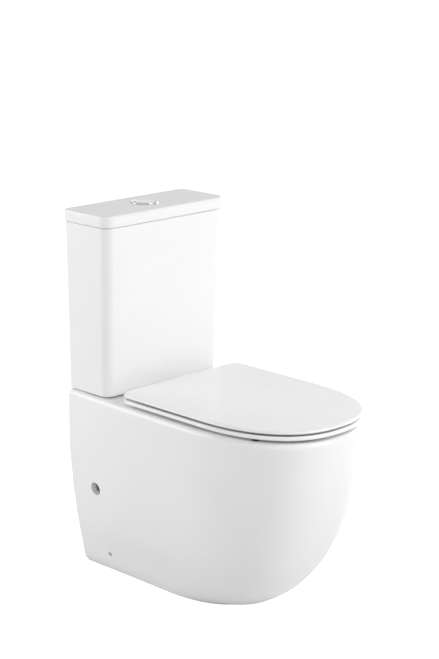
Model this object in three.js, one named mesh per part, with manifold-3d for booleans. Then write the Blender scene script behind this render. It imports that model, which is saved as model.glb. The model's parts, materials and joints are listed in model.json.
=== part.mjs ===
// Close coupled toilet: skirted pan, cistern with dual flush valve, and a slim two-layer seat.
// Millimetres, +Z up. The origin is on the floor, midway between the wall and the front of the pan.
// The wall plane is y = WALL and the toilet faces -Y. Depths are given as t, measured from the wall.
import * as THREE from "three";
import { mergeVertices } from "three/addons/utils/BufferGeometryUtils.js";
import Module from "manifold-3d";

const wasm = await Module();
wasm.setup();

// ---------------------------------------------------------------- driving dimensions
const DEPTH = 658; // wall to the front of the pan
const WALL = DEPTH / 2;
const GAP = 0.3; // between pieces that touch
const NOSE = 5; // half width of the flat at the very front of an outline

// Pan: half widths and reach from the wall at a few heights
const PAN_HEIGHT = 428;
const PAN_WALL = 14;
const PAN_EXPONENT = 2.35; // superellipse that rounds the front
const PAN_WIDEST = 0.58; // share of the reach at which the pan is widest
const PAN_STATIONS = [
  { z: 0, half: 118, reach: 434, rear: 121 },
  { z: 15, half: 124, reach: 475, rear: 131 },
  { z: 60, half: 139, reach: 530, rear: 141 },
  { z: 130, half: 164, reach: 582, rear: 154.5 },
  { z: 220, half: 178.5, reach: 620, rear: 167 },
  { z: 320, half: 183.5, reach: 645, rear: 174.5 },
  { z: 428, half: 184.5, reach: 658, rear: 174 },
];
const RIM_ROUND = 12;
const BACK_OPENING = { half: 96, top: 320 };
// Bowl cavity: half width, and where it starts and ends from the wall
const BOWL_WALL = 12;
const BOWL_STATIONS = [
  { z: 428.5, half: 145, rear: 250, front: 618 },
  { z: 390, half: 144, rear: 251, front: 614 },
  { z: 330, half: 128, rear: 262, front: 586 },
  { z: 260, half: 96, rear: 280, front: 525 },
  { z: 200, half: 64, rear: 296, front: 448 },
  { z: 160, half: 46, rear: 303, front: 400 },
  { z: 128, half: 37, rear: 310, front: 384 },
];
const TRAP = { bore: 33, wall: 9 };
const OUTLET = { z: 180, end: 20 }; // centre height, and its end from the wall
const TRAP_ROUTE = [[346, 140], [318, 121], [284, 117], [250, 138], [226, 180], [196, 222], [152, 226],
  [118, 196], [84, 181], [50, 180]];
const ACCESS_HOLE = { t: 85, z: 210, r: 15 };
const SIDE_SCREW = { t: 94, z: 46, r: 5.5 };

// Flush axis, shared by button, flush valve and the pan's inlet
const FLUSH_T = 68;
const INLET = { recess: 53.5, depth: 30, bore: 27, bossRadius: 63, bossBottom: 336 };
const CHANNEL = { z: 372, bore: 22, wall: 9, end: 285 }; // opens into the bowl's rear wall

// Cistern
const CISTERN = { bottom: 431.5, top: 811.6, halfTop: 180.4, halfBottom: 173.8, frontTop: 141,
  frontBottom: 131, back: 2, corner: 22, wall: 9, floor: 12 };
const CISTERN_FLOOR = CISTERN.bottom + CISTERN.floor;
const LID = { bottom: 812, top: 838, half: 183, depth: 143.7, corner: 24, round: 4, wall: 10, plate: 9 };
const BOLT_X = 85;
const BOLT_HOLE = 6;
const VALVE_HOLE = 32;
const FILL = { x: -132, t: 68, hole: 11, panHole: 24 };

// Seat
const SEAT = { rear: 178, half: 182, widest: 415, front: 655, exponent: 2.35, corner: 26 };
const SEAT_RING = { bottom: 436, top: 444, edge: 2.5 };
const SEAT_LID = { bottom: 449.1, top: 458, edge: 2.5 };
// Hole of the ring, and the hinges behind it
const SEAT_HOLE = { rear: 244, half: 112, widest: 410, front: 596, exponent: 2.2 };
const HINGE = { t: 176, z: 443, x: 77, barrel: 5.8, pin: 2.5, halfBarrel: 15.2, damper: 4.3, neck: 5.5,
  back: 3.5, foot: 4.6, notch: 22, notchEnd: 186, reach: 29 };
const STUD_T = 208;
const STUD_HOLE = 7;

// Button and flush valve heights
const BUTTON = { r: 23.4, split: 8, top: 843, bottom: 836, bezel: 32, bezelBore: 24, shelf: 823 };
const ROD = { r: 2.5, fullX: -16, halfX: 16 };
const LEVER = { x: -7, z: 712, inner: 14, bar: 3 };
const RISER = { seat: 455, top: 745, outer: 11, inner: 9 };

// ---------------------------------------------------------------- finishes
const finish = (color, roughness, metalness) => () =>
  new THREE.MeshStandardMaterial({ color, roughness, metalness });
const CHINA = finish(0xf4f4f2, 0.08, 0);
const SEAT_PLASTIC = finish(0xf2f2f0, 0.18, 0);
const CHROME = finish(0xd8dadc, 0.08, 1);
const VALVE_PLASTIC = finish(0xe9eaec, 0.45, 0);
const BLUE_PLASTIC = finish(0x3f6f9f, 0.5, 0);
const RUBBER = finish(0x222222, 0.8, 0);
const STEEL = finish(0xb8b9ba, 0.35, 1);
const BRASS = finish(0xb9964a, 0.35, 1);

// ---------------------------------------------------------------- geometry helpers
const y = (t) => WALL - t;

/** Position-only geometry with shared vertices, facing outwards. */
function closed(geometry) {
  const bare = geometry.clone();
  bare.deleteAttribute("normal");
  bare.deleteAttribute("uv");
  bare.clearGroups();
  const merged = mergeVertices(bare, 1e-4);
  const p = merged.attributes.position;
  const index = Array.from(merged.index.array);
  const kept = [];
  let volume = 0;
  const [a, b, c] = [new THREE.Vector3(), new THREE.Vector3(), new THREE.Vector3()];
  for (let i = 0; i < index.length; i += 3) {
    const [u, v, w] = index.slice(i, i + 3);
    if (u === v || v === w || w === u) continue;
    kept.push(u, v, w);
    a.fromBufferAttribute(p, u);
    b.fromBufferAttribute(p, v);
    c.fromBufferAttribute(p, w);
    volume += a.dot(b.cross(c));
  }
  merged.setIndex(volume < 0 ? kept.reverse() : kept);
  return merged;
}

function solid(geometry) {
  const g = closed(geometry);
  return new wasm.Manifold(new wasm.Mesh({
    numProp: 3,
    vertProperties: new Float32Array(g.attributes.position.array),
    triVerts: new Uint32Array(g.index.array),
  }));
}

function geometryOf(manifold) {
  const mesh = manifold.getMesh();
  const g = new THREE.BufferGeometry();
  g.setAttribute("position", new THREE.BufferAttribute(new Float32Array(mesh.vertProperties), 3));
  g.setIndex(Array.from(mesh.triVerts));
  return g;
}

const join = (...parts) => geometryOf(parts.map(solid).reduce((a, b) => a.add(b)));
const cut = (body, ...tools) => geometryOf(tools.map(solid).reduce((a, b) => a.subtract(b), solid(body)));
const meet = (a, b) => geometryOf(solid(a).intersect(solid(b)));

/** Box from its low and high corners. */
function box(x0, x1, y0, y1, z0, z1) {
  const g = new THREE.BoxGeometry(x1 - x0, y1 - y0, z1 - z0);
  return g.translate((x0 + x1) / 2, (y0 + y1) / 2, (z0 + z1) / 2);
}

/** Box given by x, by depth t from the wall, and by z. */
const slab = (x0, x1, t0, t1, z0, z1) => box(x0, x1, y(t1), y(t0), z0, z1);

function rod(r, z0, z1, sides = 20) {
  return new THREE.CylinderGeometry(r, r, z1 - z0, sides).rotateX(Math.PI / 2).translate(0, 0, (z0 + z1) / 2);
}

/** Cylinder along X. */
function rodX(r, x0, x1, sides = 16) {
  return new THREE.CylinderGeometry(r, r, x1 - x0, sides).rotateZ(Math.PI / 2).translate((x0 + x1) / 2, 0, 0);
}

/** Cylinder along Y. */
function rodY(r, y0, y1, sides = 16) {
  return new THREE.CylinderGeometry(r, r, y1 - y0, sides).translate(0, (y0 + y1) / 2, 0);
}

/** Revolves a profile of [radius, z] pairs, which starts and ends on the Z axis, about that axis. */
function spun(profile, sides) {
  const points = profile.map(([r, z]) => new THREE.Vector2(r, z));
  return new THREE.LatheGeometry(points, sides).rotateX(Math.PI / 2);
}

/** Revolves a closed profile of [radius, z] pairs about the Z axis. */
const turned = (profile, sides = 18) => spun([...profile, profile[0]], sides);

/** Round tube; the flats of its bore stay inner away from the axis. */
function tube(inner, outer, z0, z1, sides = 18) {
  const bore = inner / Math.cos(Math.PI / sides);
  return turned([[bore, z0], [outer, z0], [outer, z1], [bore, z1]], sides);
}

/** Skins a stack of outlines, each a list of [x, y] with the same count, at heights z. */
function loft(layers) {
  const count = layers[0].points.length;
  const positions = layers.flatMap(({ z, points }) => points.flatMap(([px, py]) => [px, py, z]));
  const index = [];
  for (let k = 0; k + 1 < layers.length; k++) {
    for (let i = 0; i < count; i++) {
      const j = (i + 1) % count;
      const [a, b, c, d] = [k * count + i, k * count + j, (k + 1) * count + j, (k + 1) * count + i];
      index.push(a, b, c, a, c, d);
    }
  }
  const last = (layers.length - 1) * count;
  const flat = (layer) => layer.points.map(([px, py]) => new THREE.Vector2(px, py));
  for (const [p, q, r] of THREE.ShapeUtils.triangulateShape(flat(layers[0]), [])) index.push(r, q, p);
  for (const [p, q, r] of THREE.ShapeUtils.triangulateShape(flat(layers.at(-1)), [])) {
    index.push(last + p, last + q, last + r);
  }
  const g = new THREE.BufferGeometry();
  g.setAttribute("position", new THREE.Float32BufferAttribute(positions, 3));
  g.setIndex(index);
  return g;
}

/** Sweeps a round section along a route of points. */
function pipe(route, r, steps, sides = 10) {
  const circle = new THREE.Shape();
  circle.absarc(0, 0, r, 0, 2 * Math.PI);
  const extrudePath = new THREE.CatmullRomCurve3(route);
  return new THREE.ExtrudeGeometry(circle, { steps, curveSegments: sides, bevelEnabled: false, extrudePath });
}

/** Smooth function of z through the stations' values, with no overshoot (Fritsch-Carlson). */
function through(stations, key) {
  const ordered = [...stations].sort((a, b) => a.z - b.z);
  const zs = ordered.map((s) => s.z);
  const vs = ordered.map((s) => s[key]);
  const rise = zs.slice(1).map((z, i) => (vs[i + 1] - vs[i]) / (z - zs[i]));
  const slope = vs.map((_, i) => {
    if (i === 0) return rise[0];
    if (i === vs.length - 1) return rise.at(-1);
    if (rise[i - 1] * rise[i] <= 0) return 0;
    return (2 * rise[i - 1] * rise[i]) / (rise[i - 1] + rise[i]);
  });
  return (z) => {
    const at = Math.min(Math.max(z, zs[0]), zs.at(-1));
    let i = 0;
    while (i < zs.length - 2 && at > zs[i + 1]) i++;
    const h = zs[i + 1] - zs[i];
    const u = (at - zs[i]) / h;
    const v = 1 - u;
    const ends = vs[i] * v * v * (1 + 2 * u) + vs[i + 1] * u * u * (3 - 2 * u);
    return ends + h * u * v * (v * slope[i] - u * slope[i + 1]);
  };
}

// ---------------------------------------------------------------- pan
const panHalf = through(PAN_STATIONS, "half");
const panReach = through(PAN_STATIONS, "reach");
const panRear = through(PAN_STATIONS, "rear");

const mirrored = (half) => [...half, ...half.map(([px, py]) => [-px, py]).reverse()];

/** Outline of the skirt at height z, drawn in by inset; back is where its straight rear edge lies. */
function panOutline(z, inset = 0, back = 0, frontSteps = 11, sideSteps = 4) {
  const half = panHalf(z) - inset;
  const reach = panReach(z) - inset;
  const widest = reach * PAN_WIDEST;
  const points = [];
  for (let i = 0; i < frontSteps; i++) {
    const a = (i / frontSteps) * (Math.PI / 2);
    const px = Math.max(half * Math.sin(a) ** (2 / PAN_EXPONENT), NOSE);
    points.push([px, y(widest + (reach - widest) * Math.cos(a) ** (2 / PAN_EXPONENT))]);
  }
  for (let i = 0; i <= sideSteps; i++) {
    const t = widest + (back - widest) * (i / sideSteps);
    const share = 1 - t / widest;
    points.push([half + (panRear(z) - inset - half) * share * share, y(t)]);
  }
  return mirrored(points);
}

function skirt() {
  const heights = [0, 4, 15, 36, 60, 95, 130, 175, 220, 320, PAN_HEIGHT - RIM_ROUND];
  const layers = heights.map((z) => ({ z, points: panOutline(z) }));
  for (const turn of [45, 90]) {
    const a = THREE.MathUtils.degToRad(turn);
    const z = PAN_HEIGHT - RIM_ROUND + RIM_ROUND * Math.sin(a);
    layers.push({ z, points: panOutline(z, RIM_ROUND * (1 - Math.cos(a))) });
  }
  return loft(layers);
}

function skirtHollow() {
  const heights = [-2, 15, 60, 130, 220, 320, PAN_HEIGHT - PAN_WALL];
  return loft(heights.map((z) => ({ z, points: panOutline(z, PAN_WALL, PAN_WALL + 4, 8, 3) })));
}

/** Bowl outline at a station, grown outwards by wall. */
function bowlOutline({ half, rear, front }, wall) {
  const steps = 22;
  const middle = (rear + front) / 2;
  return Array.from({ length: steps }, (_, i) => {
    const a = (i / steps) * 2 * Math.PI;
    const [c, s] = [Math.cos(a), Math.sin(a)];
    const px = (half + wall) * Math.sign(c) * Math.abs(c) ** 0.87;
    return [px, y(middle) + ((front - rear) / 2 + wall) * Math.sign(s) * Math.abs(s) ** 0.87];
  });
}

function bowl(wall, drop) {
  const layers = [...BOWL_STATIONS].reverse().map((s) => ({ z: s.z, points: bowlOutline(s, wall) }));
  layers[0].z -= drop;
  return loft(layers);
}

const trapRoute = (extra) => [
  ...TRAP_ROUTE.map(([t, z]) => new THREE.Vector3(0, y(t), z)),
  new THREE.Vector3(0, y(extra), OUTLET.z),
];

function pan() {
  const centred = (g, x, t) => g.translate(x, y(t), 0);
  const bowlOuter = cut(bowl(BOWL_WALL, 10), slab(-300, 300, 0, 700, PAN_HEIGHT - 2, 500));
  const boss = centred(rod(INLET.bossRadius, INLET.bossBottom, PAN_HEIGHT - 2, 20), 0, FLUSH_T);
  const channelOuter = CHANNEL.bore + CHANNEL.wall;
  const channel = rodY(channelOuter, y(CHANNEL.end - 23), y(FLUSH_T), 14).translate(0, 0, CHANNEL.z);
  const [deckLow, deckHigh] = [PAN_HEIGHT - 40, PAN_HEIGHT + 5];
  const shell = cut(
    skirt(),
    skirtHollow(),
    slab(-BACK_OPENING.half, BACK_OPENING.half, -5, 40, -5, BACK_OPENING.top),
  );
  const body = join(shell, bowlOuter, boss, channel, pipe(trapRoute(OUTLET.end), TRAP.bore + TRAP.wall, 15));
  const tools = [
    bowl(0, 0),
    pipe(trapRoute(OUTLET.end - 12), TRAP.bore, 15),
    centred(rod(INLET.recess, PAN_HEIGHT - INLET.depth, deckHigh, 24), 0, FLUSH_T),
    centred(rod(INLET.bore, CHANNEL.z - 10, PAN_HEIGHT - INLET.depth + 1, 14), 0, FLUSH_T),
    rodY(CHANNEL.bore, y(CHANNEL.end), y(FLUSH_T - CHANNEL.bore), 14).translate(0, 0, CHANNEL.z),
    centred(rod(FILL.panHole, deckLow, deckHigh, 16), FILL.x, FILL.t),
  ];
  for (const side of [-1, 1]) {
    const throughWall = ({ t, z, r }) => rodX(r, 100, 200, 16).scale(side, 1, 1).translate(0, y(t), z);
    tools.push(
      centred(rod(BOLT_HOLE, deckLow, deckHigh, 12), side * BOLT_X, FLUSH_T),
      centred(rod(STUD_HOLE, deckLow, deckHigh, 12), side * HINGE.x, STUD_T),
      throughWall(ACCESS_HOLE),
      throughWall(SIDE_SCREW),
    );
  }
  return cut(body, ...tools);
}

// ---------------------------------------------------------------- cistern and lid
/** Rounded rectangle between two depths, with a larger radius on its front corners. */
function tankOutline(half, back, front, frontCorner, backCorner, steps = 4) {
  const points = [];
  const arc = (px, t, r, from) => {
    for (let i = 0; i <= steps; i++) {
      const a = from + (i / steps) * (Math.PI / 2);
      points.push([px + r * Math.cos(a), y(t) + r * Math.sin(a)]);
    }
  };
  arc(half - frontCorner, front - frontCorner, frontCorner, -Math.PI / 2);
  arc(half - backCorner, back + backCorner, backCorner, 0);
  return mirrored(points);
}

function cisternOutline(z, inset) {
  const share = (z - CISTERN.bottom) / (CISTERN.top - CISTERN.bottom);
  const half = THREE.MathUtils.lerp(CISTERN.halfBottom, CISTERN.halfTop, share) - inset;
  const front = THREE.MathUtils.lerp(CISTERN.frontBottom, CISTERN.frontTop, share) - inset;
  return tankOutline(half, CISTERN.back + inset, front, CISTERN.corner - inset * 0.7, 12 - inset * 0.7);
}

function cistern() {
  const { bottom, top, wall } = CISTERN;
  const outerLayers = [[bottom, 6], [bottom + 1.8, 1.8], [bottom + 6, 0], [top - 2, 0], [top, 1.5]];
  const outer = loft(outerLayers.map(([z, inset]) => ({ z, points: cisternOutline(z, inset) })));
  const inner = loft([CISTERN_FLOOR, top + 2].map((z) => ({ z, points: cisternOutline(z, wall) })));
  const hole = (r, x, sides) => rod(r, bottom - 2, CISTERN_FLOOR + 2, sides).translate(x, y(FLUSH_T), 0);
  return cut(outer, inner, hole(VALVE_HOLE, 0, 24), hole(FILL.hole, FILL.x, 16),
    hole(BOLT_HOLE, BOLT_X, 12), hole(BOLT_HOLE, -BOLT_X, 12));
}

function lidOutline(inset) {
  return tankOutline(LID.half - inset, inset, LID.depth - inset, LID.corner - inset * 0.6, 14 - inset * 0.6);
}

function cisternLid() {
  const { bottom, top, round, wall, plate } = LID;
  const layers = [{ z: bottom, points: lidOutline(1.5) }, { z: bottom + 1.5, points: lidOutline(0) }];
  for (const turn of [0, 45, 90]) {
    const a = THREE.MathUtils.degToRad(turn);
    layers.push({ z: top - round + round * Math.sin(a), points: lidOutline(round * (1 - Math.cos(a))) });
  }
  const hollow = loft([bottom - 2, top - plate].map((z) => ({ z, points: lidOutline(wall) })));
  return cut(loft(layers), hollow, rod(28.5, top - 20, top + 5, 28).translate(0, y(FLUSH_T), 0));
}

// ---------------------------------------------------------------- button
function bezel() {
  const { bezel: outer, bezelBore: bore, shelf, top } = BUTTON;
  const ring = turned([[bore, shelf - 3], [27.5, shelf - 3], [27.5, LID.top + GAP], [outer, LID.top + GAP],
    [outer - 0.6, top - 2.6], [outer - 3, top - 0.6], [outer - 5.5, top], [bore, top - 1]], 24);
  const shelfPlate = rod(bore + 1.5, shelf - 3, shelf, 24);
  const holes = [ROD.fullX, ROD.halfX].map((x) => rod(3.4, shelf - 8, shelf + 4, 12).translate(x, 0, 0));
  return cut(join(ring, shelfPlate), ...holes);
}

/** Domed part of the round button between x = low and x = high, with its push rod at rodPlace. */
function button(low, high, rodPlace, rodBottom) {
  const { r, top, bottom } = BUTTON;
  const side = r - 0.6;
  const dome = spun([[0, bottom], [side, bottom], [side, top - 2.2], [r - 2, top - 1],
    [r * 0.5, top - 0.2], [0, top]], 28);
  const half = meet(dome, box(low, high, -r, r, bottom - 1, top + 1));
  return join(half, rod(ROD.r, rodBottom, bottom + 2, 12).translate(rodPlace, 0, 0));
}

/** Coil spring of round wire standing on its own origin. */
function spring(radius, wire, height, turns) {
  const perTurn = 7;
  const steps = turns * perTurn;
  const route = Array.from({ length: steps + 1 }, (_, i) => {
    const a = (i / perTurn) * 2 * Math.PI;
    const z = wire + (height - 2 * wire) * (i / steps);
    return new THREE.Vector3(radius * Math.cos(a), radius * Math.sin(a), z);
  });
  return pipe(route, wire, steps, 4);
}

// ---------------------------------------------------------------- flush valve, about its own axis
function valveBase() {
  const flange = CISTERN_FLOOR + 3 + 2 * GAP;
  const profile = [[24, 405], [29, 405], [29, flange], [42, flange], [42, flange + 4], [28, flange + 4],
    [28, RISER.seat], [24, RISER.seat]];
  const legs = [45, 135, 225, 315].map((turn) =>
    box(32, 40, -4, 4, flange + 2, 478).rotateZ(THREE.MathUtils.degToRad(turn)));
  return join(turned(profile, 20), ...legs, tube(31, 40, 474, 480, 20));
}

function valveCage() {
  const low = 480 + GAP;
  const columns = [90, 270].map((turn) =>
    box(31, 37, -7, 7, low + 2, 702).rotateZ(THREE.MathUtils.degToRad(turn)));
  const ears = [-1, 1].map((side) =>
    box(LEVER.x - 5, LEVER.x + 5, -1.75, 1.75, 698, LEVER.z + 6).translate(0, side * 20.25, 0));
  const body = join(tube(31, 38, low, 496), tube(31, 38, 600, 612), tube(17.5, 38, 696, 702),
    ...columns, ...ears);
  return cut(body, rodY(1.9, -26, 26, 12).translate(LEVER.x, 0, LEVER.z));
}

/** Fork that the full flush rod presses and that lifts the riser's bar, with its pivot pins. */
function flushLever() {
  const { x, z, inner, bar } = LEVER;
  const [low, high] = [z - bar / 2, z + bar / 2];
  const arms = [-1, 1].map((side) =>
    box(x - 12, x + 17, -bar / 2, bar / 2, low, high).translate(0, side * (inner + bar / 2), 0));
  const bridge = box(x - 12, x - 8, -inner - bar, inner + bar, low, high);
  const pins = [-1, 1].map((side) => rodY(1.5, -3.25, 3.25, 10).translate(x, side * 18.25, z));
  return join(...arms, bridge, ...pins);
}

function valveRiser() {
  const { seat, top, outer, inner } = RISER;
  const disc = seat + 4;
  const lugs = LEVER.z + 2.4;
  const pipeAndDisc = turned([[inner, disc], [26, disc], [26, disc + 4], [outer, disc + 4], [outer, top],
    [inner, top]], 24);
  const liftBar = cut(box(2, 12, -18, 18, lugs, lugs + 3), rod(inner + 0.5, lugs - 1, lugs + 4, 24));
  return join(pipeAndDisc, liftBar);
}

// ---------------------------------------------------------------- fill valve, about its own axis
const FLOAT = { bottom: 640, top: 700, inner: 13.5, outer: 26, linkX: 32 };
const ARM = { x: -6, z: 761, length: 40, bar: 1.5 };

function fillBody() {
  const flange = CISTERN_FLOOR + 3 + 2 * GAP;
  return turned([[5, 398], [9.5, 398], [9.5, flange], [20, flange], [20, flange + 4], [12, flange + 4],
    [12, 738], [5, 738]], 20);
}

function fillCap() {
  const body = turned([[8, 738 + GAP], [18, 738 + GAP], [18, 746], [14, 749], [8, 749]], 20);
  const ears = [-1, 1].map((side) =>
    box(ARM.x - 4, ARM.x + 4, -1.25, 1.25, 746, ARM.z + 4).translate(0, side * 6, 0));
  return cut(join(body, ...ears), rodY(1.6, -12, 12, 10).translate(ARM.x, 0, ARM.z));
}

function floatArm() {
  const bar = box(ARM.x - 3, ARM.x + ARM.length, -3.5, 3.5, ARM.z - ARM.bar, ARM.z + ARM.bar);
  return join(bar, rodY(1.2, -7, 7, 10).translate(ARM.x, 0, ARM.z));
}

function floatCup() {
  const { bottom, top, inner, outer, linkX } = FLOAT;
  const cup = turned([[inner, bottom], [inner + 2, bottom], [inner + 2, top - 3], [outer - 2, top - 3],
    [outer - 2, bottom], [outer, bottom], [outer, top], [inner, top]], 24);
  const ear = box(outer - 4, linkX + 3, -3, 3, top - 3, top);
  return join(cup, ear, rod(1.5, top - 2, ARM.z - ARM.bar - 0.8, 8).translate(linkX, 0, 0));
}

// ---------------------------------------------------------------- seat
/** Seat outline: superellipse front, straight sides, round rear corners. */
function seatPoints(inset) {
  const half = SEAT.half - inset;
  const points = [];
  const frontSteps = 11;
  for (let i = 0; i < frontSteps; i++) {
    const a = (i / frontSteps) * (Math.PI / 2);
    const share = Math.cos(a) ** (2 / SEAT.exponent);
    const px = Math.max(half * Math.sin(a) ** (2 / SEAT.exponent), NOSE);
    points.push([px, y(SEAT.widest + (SEAT.front - inset - SEAT.widest) * share)]);
  }
  points.push([half, y(SEAT.widest)], [half, y(330)]);
  const r = SEAT.corner - inset;
  for (let i = 0; i <= 5; i++) {
    const a = (i / 5) * (Math.PI / 2);
    points.push([half - r + r * Math.cos(a), y(SEAT.rear + inset + r) + r * Math.sin(a)]);
  }
  return mirrored(points);
}

function seatHolePoints(inset) {
  const steps = 28;
  return Array.from({ length: steps }, (_, i) => {
    const a = (i / steps) * 2 * Math.PI;
    const [c, s] = [Math.cos(a), Math.sin(a)];
    const reach = s > 0 ? SEAT_HOLE.widest - SEAT_HOLE.rear : SEAT_HOLE.front - SEAT_HOLE.widest;
    const power = 2 / SEAT_HOLE.exponent;
    return [(SEAT_HOLE.half + inset) * Math.sign(c) * Math.abs(c) ** power,
      y(SEAT_HOLE.widest) + (reach + inset) * Math.sign(s) * Math.abs(s) ** power];
  });
}

/** Flat slab of the given outline with its top and bottom edges chamfered by edge. */
function plateOf(outline, bottom, top, edge) {
  const layers = [[bottom, edge], [bottom + edge, 0], [top - edge, 0], [top, edge]];
  return loft(layers.map(([z, inset]) => ({ z, points: outline(inset) })));
}

/** Clears a hinge post and the lid's lugs out of the seat ring. */
function hingeNotch(side) {
  const middle = side * HINGE.x;
  return slab(middle - HINGE.notch, middle + HINGE.notch, 150, HINGE.notchEnd, 420, 470);
}

/** Lugs round a hinge pin, from near to far along it on both sides of the post, with webs up to height z. */
function hingeLugs(side, near, far, z) {
  return [-1, 1].flatMap((end) => {
    const ends = [side * HINGE.x + end * near, side * HINGE.x + end * far];
    const [x0, x1] = ends.sort((a, b) => a - b);
    return [
      rodX(HINGE.barrel, x0, x1).translate(0, y(HINGE.t), HINGE.z),
      slab(x0, x1, HINGE.t, HINGE.t + HINGE.barrel, HINGE.z, z),
    ];
  });
}

/** Hole for one hinge pin, as seen by the ring and the lid. */
function hingeBore(side) {
  const half = HINGE.reach + 1;
  return rodX(HINGE.pin + GAP + 0.1, -half, half, 12).translate(side * HINGE.x, y(HINGE.t), HINGE.z);
}

function seatRing() {
  const { bottom, top, edge } = SEAT_RING;
  const holeLayers = [[bottom - 1, edge], [bottom, edge], [bottom + edge, 0], [top - edge, 0], [top, edge],
    [top + 1, edge]];
  const hole = loft(holeLayers.map(([z, inset]) => ({ z, points: seatHolePoints(inset) })));
  const plate = cut(plateOf(seatPoints, bottom, top, edge), hole, hingeNotch(-1), hingeNotch(1));
  const lugs = [-1, 1].flatMap((side) => hingeLugs(side, HINGE.notch, HINGE.reach, SEAT_RING.top - GAP));
  return cut(join(plate, ...lugs), hingeBore(-1), hingeBore(1));
}

function seatLid() {
  const { bottom, top, edge } = SEAT_LID;
  const lugs = [-1, 1].flatMap((side) =>
    hingeLugs(side, HINGE.halfBarrel + 0.5, HINGE.notch - 2 * GAP, bottom + 3));
  return cut(join(plateOf(seatPoints, bottom, top, edge), ...lugs), hingeBore(-1), hingeBore(1));
}

/** Hinge post, about the hinge axis: barrel, neck and a foot that reaches forward over its stud. */
function hingePost() {
  const { barrel, halfBarrel, z, damper, neck, back } = HINGE;
  const low = PAN_HEIGHT + GAP - z;
  const high = low + HINGE.foot;
  const forward = HINGE.t - STUD_T;
  const upright = box(-halfBarrel, halfBarrel, -neck, back, low + 1, -1);
  const foot = box(-halfBarrel, halfBarrel, forward, back, low, high);
  const toe = rod(halfBarrel, low, high, 20).translate(0, forward, 0);
  const damperBore = rodX(damper + GAP, -halfBarrel - 1, halfBarrel + 1);
  const studHole = rod(4.3, low - 1, low + 3.4, 12).translate(0, forward, 0);
  return cut(join(rodX(barrel, -halfBarrel, halfBarrel), upright, foot, toe), damperBore, studHole);
}

// ---------------------------------------------------------------- small hardware
function hexNut(bore, across, height, sides = 14) {
  const hole = rod(bore / Math.cos(Math.PI / sides), -1, height + 1, sides);
  return cut(rod(across / Math.sqrt(3), 0, height, 6), hole);
}

function wingNut() {
  const wings = box(-17, 17, -1.5, 1.5, 0, 9);
  return cut(join(rod(7, 0, 9.5, 12), rod(12, 9, 11, 16), wings), rod(4.4, -1, 12, 12));
}

/** Headed bolt whose head sits on z = 0 and whose shank hangs down. */
const bolt = (headR, headH, shankR, length) => spun([[0, -length], [shankR, -length], [shankR, 0], [headR, 0],
  [headR, headH * 0.5], [headR * 0.75, headH], [0, headH]], 12);

function floorBracket() {
  const foot = box(-38, 0, -15, 15, 0, 3);
  const upright = box(-3, 0, -15, 15, 0, 62);
  const sideHole = rodX(4.4, -10, 10, 12).translate(0, 0, SIDE_SCREW.z);
  const floorHole = rod(4, -5, 10, 12).translate(-22, 0, 0);
  return cut(join(foot, upright), sideHole, floorHole);
}

// ---------------------------------------------------------------- assembly
const toilet = new THREE.Group();

function add(parent, name, geometry, makeMaterial, position = [0, 0, 0], rotation = [0, 0, 0]) {
  const mesh = new THREE.Mesh(closed(geometry), makeMaterial());
  mesh.name = name;
  mesh.position.set(...position);
  mesh.rotation.set(...rotation);
  parent.add(mesh);
  return mesh;
}

function group(x, t, z) {
  const g = new THREE.Group();
  g.position.set(x, y(t), z);
  toilet.add(g);
  return g;
}

// china
add(toilet, "pan", pan(), CHINA);
add(toilet, "cistern", cistern(), CHINA);
add(toilet, "cistern_lid", cisternLid(), CHINA);

// button and flush valve on the flush axis
const flush = group(0, FLUSH_T, 0);
const rodBottomFull = LEVER.z + LEVER.bar / 2 + 1.2; // just above the lever's bridge
const rodBottomHalf = 765;
add(flush, "button_bezel", bezel(), CHROME);
add(flush, "full_flush_button", button(-BUTTON.r, BUTTON.split - 0.4, ROD.fullX, rodBottomFull), CHROME);
add(flush, "half_flush_button", button(BUTTON.split + 0.4, BUTTON.r, ROD.halfX, rodBottomHalf), CHROME);
add(flush, "button_housing_nut", cut(tube(27.9, 38, 0, 7), box(-50, 50, -1, 1, -1, 1.5)), VALVE_PLASTIC,
  [0, 0, LID.top - LID.plate - GAP - 7]);
for (const [word, x] of [["full", ROD.fullX], ["half", ROD.halfX]]) {
  const height = BUTTON.bottom - BUTTON.shelf - 2 * GAP;
  add(flush, `${word}_button_spring`, spring(4.3, 0.6, height, 4), STEEL, [x, 0, BUTTON.shelf + GAP]);
}
add(flush, "flush_valve_base", valveBase(), VALVE_PLASTIC);
add(flush, "flush_valve_cage", valveCage(), VALVE_PLASTIC);
add(flush, "flush_lever", flushLever(), BLUE_PLASTIC);
add(flush, "flush_riser", valveRiser(), BLUE_PLASTIC);
add(flush, "riser_float", turned([[11.3, 560], [26, 560], [26, 590], [11.3, 590]], 20), VALVE_PLASTIC);
add(flush, "flush_seal", tube(9, 28, RISER.seat + GAP, RISER.seat + 4 - GAP), RUBBER);
add(flush, "flush_base_washer", tube(32.5, 42, CISTERN_FLOOR + GAP, CISTERN_FLOOR + GAP + 3), RUBBER);
add(flush, "flush_backnut", hexNut(29.4, 74, 9.9, 28), VALVE_PLASTIC, [0, 0, CISTERN.bottom - GAP - 9.9]);
const recessFloor = PAN_HEIGHT - INLET.depth;
const sealTop = CISTERN.bottom - GAP;
add(flush, "coupling_seal", turned([[31, recessFloor + GAP], [51, recessFloor + GAP], [51, sealTop],
  [43.5, sealTop], [43.5, 420.9], [31, 420.9]], 28), RUBBER);

// seat
add(toilet, "seat_ring", seatRing(), SEAT_PLASTIC);
add(toilet, "seat_lid", seatLid(), SEAT_PLASTIC);

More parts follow.
